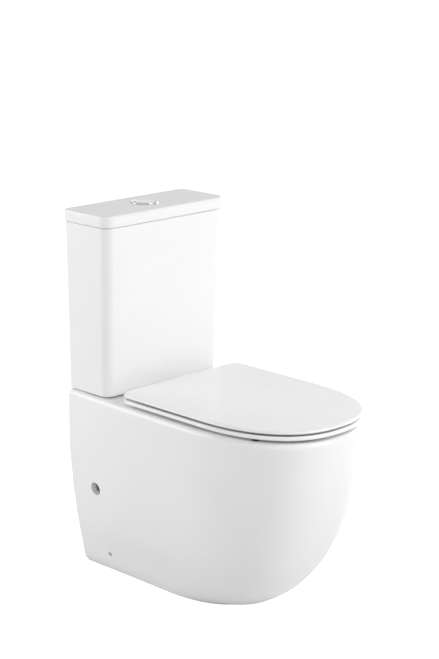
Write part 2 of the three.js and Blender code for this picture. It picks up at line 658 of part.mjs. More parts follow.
// fill valve
const fill = group(FILL.x, FILL.t, 0);
add(fill, "fill_valve_body", fillBody(), VALVE_PLASTIC);
add(fill, "fill_valve_cap", fillCap(), BLUE_PLASTIC);
add(fill, "float_cup", floatCup(), VALVE_PLASTIC);
add(fill, "float_arm", floatArm(), BLUE_PLASTIC);
add(fill, "fill_shank_washer", tube(10, 18, CISTERN_FLOOR + GAP, CISTERN_FLOOR + GAP + 3, 20), RUBBER);
add(fill, "fill_shank_nut", hexNut(9.9, 30, 9.9), VALVE_PLASTIC, [0, 0, CISTERN.bottom - GAP - 9.9]);

// two of each, left (-X) and right (+X)
for (const [word, side] of [["left", -1], ["right", 1]]) {
  const coupling = group(side * BOLT_X, FLUSH_T, 0);
  const plateau = PAN_HEIGHT - PAN_WALL;
  const headSeat = CISTERN_FLOOR + 3 + 2 * GAP;
  add(coupling, `cistern_bolt_${word}`, bolt(11, 5, 4, headSeat - 394), BRASS, [0, 0, headSeat]);
  add(coupling, `bolt_washer_${word}`, tube(4.4, 14, 0, 3, 12), RUBBER, [0, 0, CISTERN_FLOOR + GAP]);
  add(coupling, `wing_nut_${word}`, wingNut(), BRASS, [0, 0, plateau - GAP - 11]);
  add(toilet, `cistern_pad_${word}`, rod(8, 0, 2.9, 16), RUBBER, [side * 142, y(104), PAN_HEIGHT + GAP]);

  const hinge = group(side * HINGE.x, HINGE.t, HINGE.z);
  add(hinge, `hinge_post_${word}`, hingePost(), CHROME);
  add(hinge, `hinge_pin_${word}`, rodX(HINGE.pin, -28, 28, 12), STEEL);
  add(hinge, `seat_damper_${word}`, tube(2.9, HINGE.damper, -14, 14, 14), VALVE_PLASTIC, [0, 0, 0],
    [0, Math.PI / 2, 0]);

  const stud = group(side * HINGE.x, STUD_T, 0);
  add(stud, `seat_stud_${word}`, rod(4, 372, PAN_HEIGHT + GAP + 3, 12), STEEL);
  add(stud, `stud_washer_${word}`, tube(4.3, 12, 0, 3, 12), RUBBER, [0, 0, plateau - GAP - 3]);
  add(stud, `stud_nut_${word}`, hexNut(4.4, 20, 12), VALVE_PLASTIC, [0, 0, plateau - 2 * GAP - 15]);

  const ringPad = SEAT_RING.bottom - PAN_HEIGHT - 2 * GAP;
  for (const [place, x, t] of [["rear", 148, 290], ["front", 141, 545]]) {
    add(toilet, `ring_bumper_${place}_${word}`, rod(8, 0, ringPad, 12), RUBBER,
      [side * x, y(t), PAN_HEIGHT + GAP]);
  }
  const lidPad = SEAT_LID.bottom - SEAT_RING.top - 2 * GAP;
  add(toilet, `lid_bumper_${word}`, rod(6, 0, lidPad, 12), RUBBER, [side * 125, y(545), SEAT_RING.top + GAP]);

  const bracketX = panHalfAt({ t: SIDE_SCREW.t, z: 0 }) - PAN_WALL - 3;
  const headX = panHalfAt(SIDE_SCREW) - 9;
  add(toilet, `floor_bracket_${word}`, floorBracket(), STEEL, [side * bracketX, y(SIDE_SCREW.t), 0],
    [0, 0, side > 0 ? 0 : Math.PI]);
  add(toilet, `side_screw_${word}`, bolt(4.9, 3, 3.5, headX - bracketX + 8), STEEL,
    [side * headX, y(SIDE_SCREW.t), SIDE_SCREW.z], [0, side * (Math.PI / 2), 0]);
}

/** Outer half width of the skirt at a place on its side. */
function panHalfAt({ t, z }) {
  const share = 1 - t / (panReach(z) * PAN_WIDEST);
  return panHalf(z) + (panRear(z) - panHalf(z)) * share * share;
}

// outlet, turned about an axis along +Y: heights of these two profiles are depths from the wall
const outlet = group(0, 0, OUTLET.z);
const spigot = TRAP.bore + TRAP.wall;
const alongY = [Math.PI / 2, 0, 0];
add(outlet, "pan_connector", tube(spigot + 4, spigot + 7, 0.5, 40, 28), VALVE_PLASTIC, [0, 0, 0], alongY);
add(outlet, "connector_seal", tube(spigot + 0.5, spigot + 3.6, 24, 36, 28), RUBBER, [0, 0, 0], alongY);

export default toilet;
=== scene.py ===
"""Close coupled toilet: glazed china, moulded seat, chrome button and the fittings inside.

Metres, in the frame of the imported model: +Z up, the wall at +Y, the toilet facing -Y.
A depth t is measured from the wall towards the front, as in y(t).
"""
import json
import math

import bmesh
import bpy
from mathutils import Matrix, Vector

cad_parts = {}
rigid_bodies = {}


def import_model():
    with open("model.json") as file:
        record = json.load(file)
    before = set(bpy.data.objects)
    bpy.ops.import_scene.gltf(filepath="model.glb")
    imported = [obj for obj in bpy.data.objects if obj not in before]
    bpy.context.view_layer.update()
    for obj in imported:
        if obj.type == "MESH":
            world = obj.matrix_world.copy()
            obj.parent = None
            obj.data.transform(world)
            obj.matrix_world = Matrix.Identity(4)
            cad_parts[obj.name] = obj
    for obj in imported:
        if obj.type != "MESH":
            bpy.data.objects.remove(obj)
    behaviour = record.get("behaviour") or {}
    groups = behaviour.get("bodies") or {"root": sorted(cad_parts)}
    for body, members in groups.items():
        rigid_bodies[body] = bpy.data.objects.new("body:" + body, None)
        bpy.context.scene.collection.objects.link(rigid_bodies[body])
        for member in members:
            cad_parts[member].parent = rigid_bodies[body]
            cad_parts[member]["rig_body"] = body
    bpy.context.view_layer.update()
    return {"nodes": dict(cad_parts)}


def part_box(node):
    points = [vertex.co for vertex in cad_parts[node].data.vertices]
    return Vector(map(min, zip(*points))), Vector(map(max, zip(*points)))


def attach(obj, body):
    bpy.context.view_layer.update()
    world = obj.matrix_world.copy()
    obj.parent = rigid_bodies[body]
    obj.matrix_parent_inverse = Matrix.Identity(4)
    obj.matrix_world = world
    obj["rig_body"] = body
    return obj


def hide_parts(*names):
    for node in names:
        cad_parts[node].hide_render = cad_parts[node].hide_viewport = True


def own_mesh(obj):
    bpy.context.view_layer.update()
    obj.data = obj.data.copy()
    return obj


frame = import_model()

# ---------------------------------------------------------------- places taken from the frame
PAN_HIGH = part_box("pan")[1]
TANK_LOW, TANK_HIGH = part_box("cistern")
LID_LOW, LID_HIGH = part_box("cistern_lid")
RING_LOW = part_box("seat_ring")[0]
COVER_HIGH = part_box("seat_lid")[1]
WALL = PAN_HIGH.y
PAN_TOP = PAN_HIGH.z


def y(t):
    """World y of the depth t."""
    return WALL - t


def centre_of(node):
    """Middle of a CAD node's box."""
    low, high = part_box(node)
    return (low + high) / 2


FLUSH = centre_of("button_bezel")  # the axis shared by button, flush valve and inlet
FLUSH_AXIS = (FLUSH.x, FLUSH.y, 0)
FLUSH_T = WALL - FLUSH.y
FILL = centre_of("fill_valve_body")

# ---------------------------------------------------------------- shapes, in metres
# Pan skirt: height, half width, reach from the wall, half width at the wall
PAN_STATIONS = (
    (0.000, 0.1180, 0.434, 0.1210),
    (0.015, 0.1240, 0.475, 0.1310),
    (0.060, 0.1390, 0.530, 0.1410),
    (0.130, 0.1640, 0.582, 0.1545),
    (0.220, 0.1785, 0.620, 0.1670),
    (0.320, 0.1835, 0.645, 0.1745),
    (0.428, 0.1845, 0.658, 0.1740),
)
PAN_EXPONENT = 2.35
PAN_WIDEST = 0.58
PAN_WALL = 0.014
RIM_ROUND = 0.016
RIM_INSET = 0.010
FOOT_ROUND = 0.003
# Bowl: height, half width, rear and front from the wall
BOWL_STATIONS = (
    (0.128, 0.037, 0.310, 0.384),
    (0.160, 0.046, 0.303, 0.400),
    (0.200, 0.064, 0.296, 0.448),
    (0.260, 0.096, 0.280, 0.525),
    (0.330, 0.128, 0.262, 0.586),
    (0.372, 0.136, 0.255, 0.602),
    (0.384, 0.1435, 0.2515, 0.613),
    (0.4285, 0.145, 0.250, 0.618),
)
BOWL_POWER = 0.87
BOWL_WALL = 0.012
BOWL_LIP = 0.006
# Middle line of the trap: depth, height
TRAP_ROUTE = (
    (0.346, 0.140), (0.318, 0.121), (0.284, 0.117), (0.250, 0.138), (0.226, 0.180),
    (0.196, 0.222), (0.152, 0.226), (0.118, 0.196), (0.084, 0.181), (0.050, 0.180),
)
TRAP_BORE = 0.033
TRAP_WALL = 0.009
OUTLET_Z = 0.180
OUTLET_END = 0.020
# Flush way: a socket for the coupling seal in a boss, and a channel forward to the bowl
SOCKET_R = 0.0535
SOCKET_DEPTH = 0.030
BOSS_R = 0.063
BOSS_FOOT = 0.336
INLET_R = 0.027
CHANNEL_Z = 0.372
CHANNEL_OUTER = 0.031
CHANNEL_BORE = 0.022
CHANNEL_FRONT = 0.262
FLOW_FRONT = 0.285
DECK_HOLE_DEPTH = 0.040
DECK_FILL_HOLE = 0.024
BOLT_HOLE = 0.006
STUD_HOLE = 0.007
ACCESS_HOLE = {"t": 0.085, "z": 0.210, "r": 0.015}
SCREW_HOLE = {"t": 0.094, "z": 0.046, "r": 0.0055}
BACK_OPENING = {"half": 0.096, "top": 0.320}
BOLT_X = 0.085
STUD_X = 0.077
STUD_T = 0.208

TANK_BACK = 0.002
TANK_FRONT_LOW = 0.131
TANK_FRONT_HIGH = 0.141
TANK_HALF_LOW = 0.1738
TANK_HALF_HIGH = 0.1804
TANK_WALL = 0.009
TANK_FLOOR = 0.012
TANK_CORNERS = (0.022, 0.012)  # radii at the front and at the back
TANK_FOOT_ROUND = 0.0035
TANK_REBATE = 0.002  # height of the step under the lid, which shows as a dark line
REBATE_DEPTH = 0.0035
TANK_FLUSH_HOLE = 0.032
TANK_FILL_HOLE = 0.011
LID_HALF = 0.183
LID_DEPTH = 0.1437
LID_CORNERS = (0.024, 0.014)
LID_PLATE = 0.009
LID_HOLE = 0.0285

BEZEL_RISE = 0.0022
BUTTON_RISE = 0.0028
BUTTON_R = 0.0228
BUTTON_UNDER = 0.836
BUTTON_SHELF = 0.823
SPLIT_X = 0.008
SPLIT_GAP = 0.0004
ROD_X = 0.016

SEAT_REAR = 0.178
SEAT_HALF = 0.182
SEAT_WIDEST = 0.415
SEAT_FRONT = 0.655
SEAT_CORNER = 0.026
RING_TOP = 0.4447
RING_DISH = 0.002
COVER_UNDER = 0.4491
HOLE_REAR = 0.244
HOLE_HALF = 0.112
HOLE_WIDEST = 0.410
HOLE_FRONT = 0.596
HOLE_POWER = 0.91
HINGE_T = 0.176
HINGE_Z = 0.443
HINGE_BARREL = 0.0058
HINGE_HALF = 0.0152
HINGE_NOTCH = 0.022
NOTCH_DEPTHS = (0.186, 0.150)
NOTCH_HEIGHTS = (0.420, 0.470)
LUG_END = 0.029
PIN_BORE = 0.0029

SEAL_SEAT = 0.455  # the valve seat that the flush seal closes
LEVER_LUGS = 0.7144  # underside of the lugs on the riser that the lever lifts

# ---------------------------------------------------------------- camera and light
CAMERA_PLACE = (-2.5969, -2.5022, 1.5499)
CAMERA_YAW = 45.63
CAMERA_PITCH = 14.822
CAMERA_ROLL = 0.399
LENS_MM = 94.56
SENSOR_MM = 36.0
SHIFT = (0.0060, -0.0010)
BRIGHT_AXIS = (0.70, 0.70, -0.10)  # both ways along it the room is bright
SIDE_GLOW = 0.07
END_GLOW = 0.88
SOFTBOX_SIZE = 1.6
AIM_HEIGHT = 0.45
SOFTBOXES = (
    ("right_softbox", (3.13, 0.0, 1.12), 69.0),
    ("front_softbox", (0.72, -2.68, 2.05), 54.0),
    ("rear_left_softbox", (-2.19, 2.19, 1.28), 47.0),
)
SWEEP_RADIUS = 14.0
SWEEP_HEIGHT = 9.0
SWEEP_CURVE = 3.0
BOUNCE_HALF = 6.0
FLOOR_GLOW = 0.80
FLOOR_TONE = 0.90
BOUNCE_TONE = 0.75
CHINA_DARK = (0.845, 0.845, 0.84)
CHINA_LIGHT = (0.865, 0.865, 0.86)


# ---------------------------------------------------------------- mesh helpers
MERGE = 1e-6  # corners closer than this are one
ON_AXIS = 1e-7
MOST_OF_EDGE = 0.49  # of an edge that a rounded corner may take


def through(stations, column):
    """Smooth function of the first column through one other column, with no overshoot."""
    zs = [s[0] for s in stations]
    vs = [s[column] for s in stations]
    rise = [(vs[i + 1] - vs[i]) / (zs[i + 1] - zs[i]) for i in range(len(zs) - 1)]
    slope = [rise[0]]
    for before, after in zip(rise, rise[1:]):
        slope.append(0.0 if before * after <= 0 else 2 * before * after / (before + after))
    slope.append(rise[-1])

    def value(z):
        at = min(max(z, zs[0]), zs[-1])
        i = 0
        while i < len(zs) - 2 and at > zs[i + 1]:
            i += 1
        h = zs[i + 1] - zs[i]
        u = (at - zs[i]) / h
        v = 1 - u
        ends = vs[i] * v * v * (1 + 2 * u) + vs[i + 1] * u * u * (3 - 2 * u)
        return ends + h * u * v * (v * slope[i] - u * slope[i + 1])

    return value


def spaced(low, high, steps):
    """Evenly spaced values from low to high, both included."""
    return [low + (high - low) * i / steps for i in range(steps + 1)]


def bulged(value, power):
    """Power of a cosine or sine that keeps its sign, for superellipses."""
    return math.copysign(abs(value) ** power, value)


def at_height(outline, z):
    """Lifts an outline of (x, y) points to height z."""
    return [(px, py, z) for px, py in outline]


def mirrored(half):
    """Closes a half outline, which starts on the centre line in front, with its mirror image."""
    return half + [(-px, py) for px, py in reversed(half[1:])]


def fillet(points, radius, steps=5):
    """Rounds the corners of an open polyline of 2-D points; a radius of 0 keeps them."""
    made = []
    for i, corner in enumerate(points):
        if i in (0, len(points) - 1) or radius <= 0:
            made.append(tuple(corner))
            continue
        here = Vector(corner)
        to_last = Vector(points[i - 1]) - here
        to_next = Vector(points[i + 1]) - here
        turn = to_last.angle(to_next)
        most = MOST_OF_EDGE * min(to_last.length, to_next.length)
        back = min(radius / math.tan(turn / 2), most)
        start = here + to_last.normalized() * back
        end = here + to_next.normalized() * back
        for k in range(steps + 1):
            u = k / steps
            p = start * (1 - u) ** 2 + here * 2 * u * (1 - u) + end * u * u
            made.append((p.x, p.y))
    return made


def from_faces(name, verts, faces):
    """New object from corners and faces; merges repeated corners and turns faces outwards."""
    mesh = bpy.data.meshes.new(name)
    mesh.from_pydata([tuple(v) for v in verts], [], faces)
    bm = bmesh.new()
    bm.from_mesh(mesh)
    bmesh.ops.remove_doubles(bm, verts=bm.verts, dist=MERGE)
    bmesh.ops.recalc_face_normals(bm, faces=bm.faces)
    bm.to_mesh(mesh)
    bm.free()
    obj = bpy.data.objects.new(name, mesh)
    bpy.context.scene.collection.objects.link(obj)
    return obj


def skinned(name, rings, wrapped=False):
    """Skins a stack of rings of 3-D points; the ends are capped, or joined when wrapped."""
    count = len(rings[0])
    verts = [p for ring in rings for p in ring]
    faces = []
    pairs = list(zip(range(len(rings)), range(1, len(rings))))
    if wrapped:
        pairs.append((len(rings) - 1, 0))
    for a, b in pairs:
        for i in range(count):
            j = (i + 1) % count
            faces.append((a * count + i, a * count + j, b * count + j, b * count + i))
    if not wrapped:
        faces.append(tuple(reversed(range(count))))
        faces.append(tuple((len(rings) - 1) * count + i for i in range(count)))
    return from_faces(name, verts, faces)


def lofted(name, layers):
    """Skins outlines of (x, y) points at heights z."""
    return skinned(name, [at_height(outline, z) for z, outline in layers])


def turned(name, profile, place=(0, 0, 0), sides=56, axis="Z"):
    """Revolves a profile of (radius, z) points that ends on the axis or closes on itself."""
    ends_on_axis = profile[0][0] < ON_AXIS and profile[-1][0] < ON_AXIS
    around = [2 * math.pi * i / sides for i in range(sides)]
    verts = [(r * math.cos(a), r * math.sin(a), z) for r, z in profile for a in around]
    faces = []
    rows = len(profile)
    for k in range(rows - 1 if ends_on_axis else rows):
        low, high = k * sides, ((k + 1) % rows) * sides
        for i in range(sides):
            j = (i + 1) % sides
            faces.append((low + i, low + j, high + j, high + i))
    turn = {"Z": Matrix.Identity(4), "X": Matrix.Rotation(math.pi / 2, 4, "Y"),
            "Y": Matrix.Rotation(-math.pi / 2, 4, "X")}[axis]
    matrix = Matrix.Translation(place) @ turn
    return from_faces(name, [matrix @ Vector(v) for v in verts], clean_faces(verts, faces))


def clean_faces(verts, faces):
    """Drops the repeated corners that faces have on the axis."""
    kept = []
    for face in faces:
        corners = []
        for i in face:
            if not any((Vector(verts[i]) - Vector(verts[j])).length < ON_AXIS for j in corners):
                corners.append(i)
        if len(corners) > 2:
            kept.append(tuple(corners))
    return kept


def cylinder(name, radius, low, high, place=(0, 0, 0), axis="Z", rounding=0.0, sides=56):
    """Round bar from low to high along an axis, with rounded ends."""
    profile = fillet([(0, low), (radius, low), (radius, high), (0, high)], rounding)
    return turned(name, profile, place, sides, axis)


def ring_bar(name, inner, outer, low, high, place=(0, 0, 0), axis="Z", rounding=0.0004):
    """Round tube with rounded rims."""
    middle = (inner + outer) / 2
    corners = [(middle, low), (outer, low), (outer, high), (inner, high), (inner, low),
               (middle, low)]
    return turned(name, fillet(corners, rounding, 3)[:-1], place, 56, axis)


def block(name, low, high, rounding=0.0):
    """Box between two corners, with rounded upright edges."""
    (x0, y0, z0), (x1, y1, z1) = low, high
    middle = (x0 + x1) / 2
    outline = fillet([(middle, y0), (x1, y0), (x1, y1), (x0, y1), (x0, y0), (middle, y0)], rounding)
    return lofted(name, [(z0, outline[:-1]), (z1, outline[:-1])])


def swept(name, route, radius, steps=64, sides=32):
    """Round bar along a smooth route of (t, z) points in the middle plane."""
    points = [Vector((0, y(t), z)) for t, z in route]
    points = [points[0] * 2 - points[1], *points, points[-1] * 2 - points[-2]]
    rings = []
    spans = len(points) - 3
    for k in range(steps + 1):
        u = k / steps * spans
        i = min(int(u), spans - 1)
        u -= i
        a, b, c, d = points[i:i + 4]
        bend = 2 * a - 5 * b + 4 * c - d
        twist = 3 * b - 3 * c + d - a
        at = 0.5 * (2 * b + (c - a) * u + bend * u * u + twist * u ** 3)
        along = 0.5 * ((c - a) + 2 * bend * u + 3 * twist * u * u)
        side = Vector((1, 0, 0))
        up = side.cross(along.normalized())
        ring = [2 * math.pi * s / sides for s in range(sides)]
        rings.append([at + radius * (math.cos(w) * side + math.sin(w) * up) for w in ring])
    return skinned(name, rings)


def coil(name, radius, wire, low, high, turns, place):
    """Compression spring of round wire whose end turns lie flat."""
    steps, sides = turns * 24, 10
    rings = []
    for k in range(steps + 1):
        share = k / steps
        angle = share * turns * 2 * math.pi
        lift = min(max((share * turns - 0.5) / (turns - 1), 0), 1)
        out = Vector((math.cos(angle), math.sin(angle), 0))
        rise = low + wire + (high - low - 2 * wire) * lift
        at = Vector(place) + out * radius + Vector((0, 0, rise))
        rings.append([at + wire * (math.cos(w) * out + Vector((0, 0, math.sin(w))))
                      for w in (2 * math.pi * s / sides for s in range(sides))])
    return skinned(name, rings)


def bake(obj):
    """Applies the modifiers of obj to its mesh."""
    evaluated = obj.evaluated_get(bpy.context.evaluated_depsgraph_get())
    mesh = bpy.data.meshes.new_from_object(evaluated)
    obj.modifiers.clear()
    obj.data = mesh
    return obj


def combined(obj, others, operation="UNION"):
    """Joins the others to obj, or cuts them out of it, and removes them."""
    for other in others:
        modifier = obj.modifiers.new("combine", "BOOLEAN")
        modifier.object = other
        modifier.operation = operation
        modifier.solver = "MANIFOLD"
    bpy.context.view_layer.update()
    bake(obj)
    for other in others:
        bpy.data.objects.remove(other)
    return obj


def cut(obj, *tools):
    """Cuts the tools out of obj."""
    return combined(obj, tools, "DIFFERENCE")


def eased(obj, width, angle=40, segments=3):
    """Breaks the sharp edges of obj."""
    modifier = obj.modifiers.new("ease", "BEVEL")
    modifier.width = width
    modifier.segments = segments
    modifier.limit_method = "ANGLE"
    modifier.angle_limit = math.radians(angle)
    bpy.context.view_layer.update()
    return bake(obj)


def dressed(obj, node, material, sharp_over=38):
    """Gives obj its shading and material, and lets it stand for a CAD node and ride its body."""
    mesh = obj.data
    mesh.polygons.foreach_set("use_smooth", [True] * len(mesh.polygons))
    mesh.set_sharp_from_angle(angle=math.radians(sharp_over))
    mesh.materials.clear()
    mesh.materials.append(material)
    shading = obj.modifiers.new("even_shading", "WEIGHTED_NORMAL")
    shading.keep_sharp = True
    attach(obj, frame["nodes"][node]["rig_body"])
    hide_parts(node)
    return obj


# ---------------------------------------------------------------- materials
def surface(name, **inputs):
    """New material with these inputs; returns it with its tree, shader and coordinates."""
    material = bpy.data.materials.new(name)
    material.use_nodes = True
    tree = material.node_tree
    shader = tree.nodes["Principled BSDF"]
    for key, value in inputs.items():
        shader.inputs[key.replace("_", " ")].default_value = value
    place = tree.nodes.new("ShaderNodeTexCoord")
    return material, tree, shader, place.outputs["Object"]


def noise(tree, place, scale, detail=3.0, stretch=(1, 1, 1)):
    """Noise value over the object's own coordinates."""
    mapping = tree.nodes.new("ShaderNodeMapping")
    mapping.inputs["Scale"].default_value = stretch
    tree.links.new(place, mapping.inputs["Vector"])
    texture = tree.nodes.new("ShaderNodeTexNoise")
    texture.inputs["Scale"].default_value = scale
    texture.inputs["Detail"].default_value = detail
    tree.links.new(mapping.outputs["Vector"], texture.inputs["Vector"])
    return texture.outputs["Fac"]


def ranged(tree, value, low, high, start=0.35, end=0.65):
    """Maps a noise value from start..end to low..high."""
    node = tree.nodes.new("ShaderNodeMapRange")
    node.inputs["From Min"].default_value = start
    node.inputs["From Max"].default_value = end
    node.inputs["To Min"].default_value = low
    node.inputs["To Max"].default_value = high
    tree.links.new(value, node.inputs["Value"])
    return node.outputs["Result"]


def between(tree, value, dark, light):
    """Colour between dark and light by a noise value."""
    ramp = tree.nodes.new("ShaderNodeValToRGB")
    ramp.color_ramp.elements[0].position = 0.3
    ramp.color_ramp.elements[0].color = (*dark, 1)
    ramp.color_ramp.elements[1].position = 0.7
    ramp.color_ramp.elements[1].color = (*light, 1)
    tree.links.new(value, ramp.inputs["Fac"])
    return ramp.outputs["Color"]


def bumped(tree, shader, layers, coat=False):
    """Stacks bump layers of (height, strength, distance) on the shader's normal."""
    normal = None
    for height, strength, distance in layers:
        bump = tree.nodes.new("ShaderNodeBump")
        bump.inputs["Strength"].default_value = strength
        bump.inputs["Distance"].default_value = distance
        tree.links.new(height, bump.inputs["Height"])
        if normal is not None:
            tree.links.new(normal, bump.inputs["Normal"])
        normal = bump.outputs["Normal"]
    tree.links.new(normal, shader.inputs["Normal"])
    if coat:
        tree.links.new(normal, shader.inputs["Coat Normal"])


def glazed_china():
    """White body under a clear fired glaze with a faint waviness."""
    material, tree, shader, place = surface("glazed_china", Coat_Weight=0.12, Coat_Roughness=0.30,
                                            Coat_IOR=1.5, IOR=1.45)
    tone = noise(tree, place, 5.0, 2.0)
    tree.links.new(between(tree, tone, CHINA_DARK, CHINA_LIGHT), shader.inputs["Base Color"])
    tree.links.new(ranged(tree, noise(tree, place, 16.0), 0.30, 0.35), shader.inputs["Roughness"])
    waves = noise(tree, place, 22.0, 1.0)
    peel = noise(tree, place, 650.0, 2.0)
    bumped(tree, shader, [(waves, 0.05, 0.0006), (peel, 0.04, 0.00012)], coat=True)
    return material


def moulded(name, dark, light, rough_low, rough_high,
            grain=900.0, strength=0.08, coat=0.0, wave=0.06):
    """Moulded plastic with a fine grain and a slight change of gloss."""
    material, tree, shader, place = surface(name, IOR=1.49, Coat_Weight=coat, Coat_Roughness=0.08)
    tone = noise(tree, place, 8.0)
    tree.links.new(between(tree, tone, dark, light), shader.inputs["Base Color"])
    gloss = ranged(tree, noise(tree, place, 24.0), rough_low, rough_high)
    tree.links.new(gloss, shader.inputs["Roughness"])
    waves = noise(tree, place, 30.0, 1.0)
    grains = noise(tree, place, grain, 3.0)
    bumped(tree, shader, [(waves, wave, 0.0008), (grains, strength, 0.0001)])
    return material


def metal(name, dark, light, rough_low, rough_high,
          stretch=(1, 1, 1), grain=300.0, strength=0.03):
    """Metal whose gloss changes with its polish or its brush lines."""
    material, tree, shader, place = surface(name, Metallic=1.0)
    lines = noise(tree, place, grain, 4.0, stretch)
    tone = noise(tree, place, 40.0)
    tree.links.new(between(tree, tone, dark, light), shader.inputs["Base Color"])
    tree.links.new(ranged(tree, lines, rough_low, rough_high), shader.inputs["Roughness"])
    bumped(tree, shader, [(lines, strength, 0.0001)])
    return material


CHINA = glazed_china()
SEAT_PLASTIC = moulded("seat_plastic", (0.87, 0.87, 0.865), (0.89, 0.89, 0.885), 0.34, 0.40,
                       strength=0.03, coat=0.2, wave=0.01)
CHROME = metal("polished_chrome", (0.80, 0.81, 0.82), (0.86, 0.87, 0.88), 0.05, 0.10)
STEEL = metal("brushed_steel", (0.52, 0.52, 0.53), (0.64, 0.64, 0.65), 0.28, 0.42,
              stretch=(1, 1, 14), grain=120.0, strength=0.10)
BRASS = metal("plain_brass", (0.52, 0.37, 0.14), (0.68, 0.52, 0.25), 0.26, 0.40,
              stretch=(1, 1, 6), grain=160.0, strength=0.08)
RUBBER = moulded("black_rubber", (0.018, 0.018, 0.019), (0.032, 0.032, 0.034), 0.62, 0.82,
                 grain=1400.0, strength=0.25)
VALVE_PLASTIC = moulded("valve_plastic", (0.74, 0.75, 0.76), (0.82, 0.83, 0.84), 0.36, 0.50,
                        grain=1200.0, strength=0.15)
BLUE_PLASTIC = moulded("blue_plastic", (0.035, 0.13, 0.32), (0.05, 0.17, 0.39), 0.34, 0.48,
                       grain=1200.0, strength=0.15)


# ---------------------------------------------------------------- pan
pan_half = through(PAN_STATIONS, 1)
pan_reach = through(PAN_STATIONS, 2)
pan_rear = through(PAN_STATIONS, 3)
bowl_half = through(BOWL_STATIONS, 1)
bowl_rear = through(BOWL_STATIONS, 2)
bowl_front = through(BOWL_STATIONS, 3)


def side_x(t, z, inset=0.0):
    """Half width of the skirt at a place on its straight side."""
    half = pan_half(z) - inset
    share = 1 - t / ((pan_reach(z) - inset) * PAN_WIDEST)
    return half + (pan_rear(z) - inset - half) * share * share


def pan_outline(z, inset=0.0, back=0.0, corner=0.004):
    """Outline of the skirt at height z: superellipse front, curved sides and a straight back."""
    half = pan_half(z) - inset
    reach = pan_reach(z) - inset
    widest = reach * PAN_WIDEST
    power = 2 / PAN_EXPONENT
    points = []
    for a in spaced(0, math.pi / 2, 44):
        t = widest + (reach - widest) * max(math.cos(a), 0) ** power
        points.append((half * math.sin(a) ** power, y(t)))
    for t in spaced(widest, back + corner, 16)[1:]:
        points.append((side_x(t, z, inset), y(t)))
    edge = points[-1][0]
    for a in spaced(0, math.pi / 2, 4)[1:]:
        points.append((edge - corner + corner * math.cos(a),
                       y(back + corner - corner * math.sin(a))))
    return mirrored(points)


def skirt():
    """Outside of the pan, with a rounded foot and a rounded rim."""
    layers = []
    for a in spaced(0, math.pi / 2, 3):
        inset = FOOT_ROUND * (1 - math.sin(a))
        below = layers[-1][0] if layers else 0.0
        layers.append((FOOT_ROUND * (1 - math.cos(a)), pan_outline(below, inset)))
    for z in spaced(FOOT_ROUND, PAN_TOP - RIM_ROUND, 44)[1:]:
        layers.append((z, pan_outline(z)))
    for a in spaced(0, math.pi / 2, 7)[1:]:
        z = PAN_TOP - RIM_ROUND + RIM_ROUND * math.sin(a)
        inset = RIM_INSET * (1 - math.cos(a))
        layers.append((z, pan_outline(z, inset, inset * 0.4)))
    return lofted("pan_china", layers)


def skirt_hollow():
    """Space inside the skirt, open at the floor and rounded at the top."""
    top, rounding, back = PAN_TOP - PAN_WALL, 0.008, 0.004
    layers = []
    for z in spaced(-0.002, top - rounding, 20):
        layers.append((z, pan_outline(z, PAN_WALL, PAN_WALL + back)))
    for a in spaced(0, math.pi / 2, 4)[1:]:
        inset = PAN_WALL + rounding * (1 - math.cos(a))
        z = top - rounding + rounding * math.sin(a)
        layers.append((z, pan_outline(top, inset, inset + back)))
    return lofted("hollow", layers)


def bowl_outline(z, grown):
    """Oval of the bowl at height z, drawn out by grown."""
    half = bowl_half(z) + grown
    rear, front = bowl_rear(z) - grown, bowl_front(z) + grown
    points = []
    for a in spaced(0, 2 * math.pi, 96)[:-1]:
        px = half * bulged(math.cos(a), BOWL_POWER)
        py = y((rear + front) / 2) + (front - rear) / 2 * bulged(math.sin(a), BOWL_POWER)
        points.append((px, py))
    return points


def bowl_solid(grown, low, high):
    """The bowl's outside, from low to high."""
    return lofted("bowl", [(z, bowl_outline(z, grown)) for z in spaced(low, high, 40)])


def bowl_tool():
    """The bowl's inside, flared at the top to round the rim's inner edge."""
    low = BOWL_STATIONS[0][0]
    layers = [(z, bowl_outline(z, 0)) for z in spaced(low, PAN_TOP - BOWL_LIP, 44)]
    for a in spaced(0, math.pi / 2, 6)[1:]:
        z = PAN_TOP - BOWL_LIP + BOWL_LIP * math.sin(a)
        layers.append((z, bowl_outline(z, BOWL_LIP * (1 - math.cos(a)))))
    layers.append((PAN_TOP + 0.01, bowl_outline(PAN_TOP, BOWL_LIP)))
    return lofted("bowl_tool", layers)


def hole_tool(radius, low, top, place, flare=0.0012, sides=48):
    """Upright hole whose mouth at height top is rounded over."""
    profile = [(0, low), (radius, low), (radius, top - flare)]
    for a in spaced(0, math.pi / 2, 4)[1:]:
        profile.append((radius + flare * (1 - math.cos(a)), top - flare + flare * math.sin(a)))
    profile += [(radius + flare, top + 0.01), (0, top + 0.01)]
    return turned("hole", profile, place, sides)


def side_hole_tool(hole, side, flare=0.0015):
    """Hole square to the skirt's side, rounded over where it meets the outside."""
    t, z, radius = hole["t"], hole["z"], hole["r"]
    step = 0.002
    out = Vector((1, (side_x(t + step, z) - side_x(t - step, z)) / (2 * step),
                  -(side_x(t, z + step) - side_x(t, z - step)) / (2 * step))).normalized()
    profile = [(0, -0.03), (radius, -0.03), (radius, -flare)]
    for a in spaced(0, math.pi / 2, 4)[1:]:
        profile.append((radius + flare * (1 - math.cos(a)), -flare + flare * math.sin(a)))
    profile += [(radius + flare, 0.01), (0, 0.01)]
    tool = turned("side_hole", profile)
    turn = out.to_track_quat("Z", "Y").to_matrix().to_4x4()
    tool.data.transform(Matrix.Translation((side_x(t, z), y(t), z)) @ turn)
    if side < 0:
        tool.data.transform(Matrix.Scale(-1, 4, (1, 0, 0)))
        tool.data.flip_normals()
    return tool


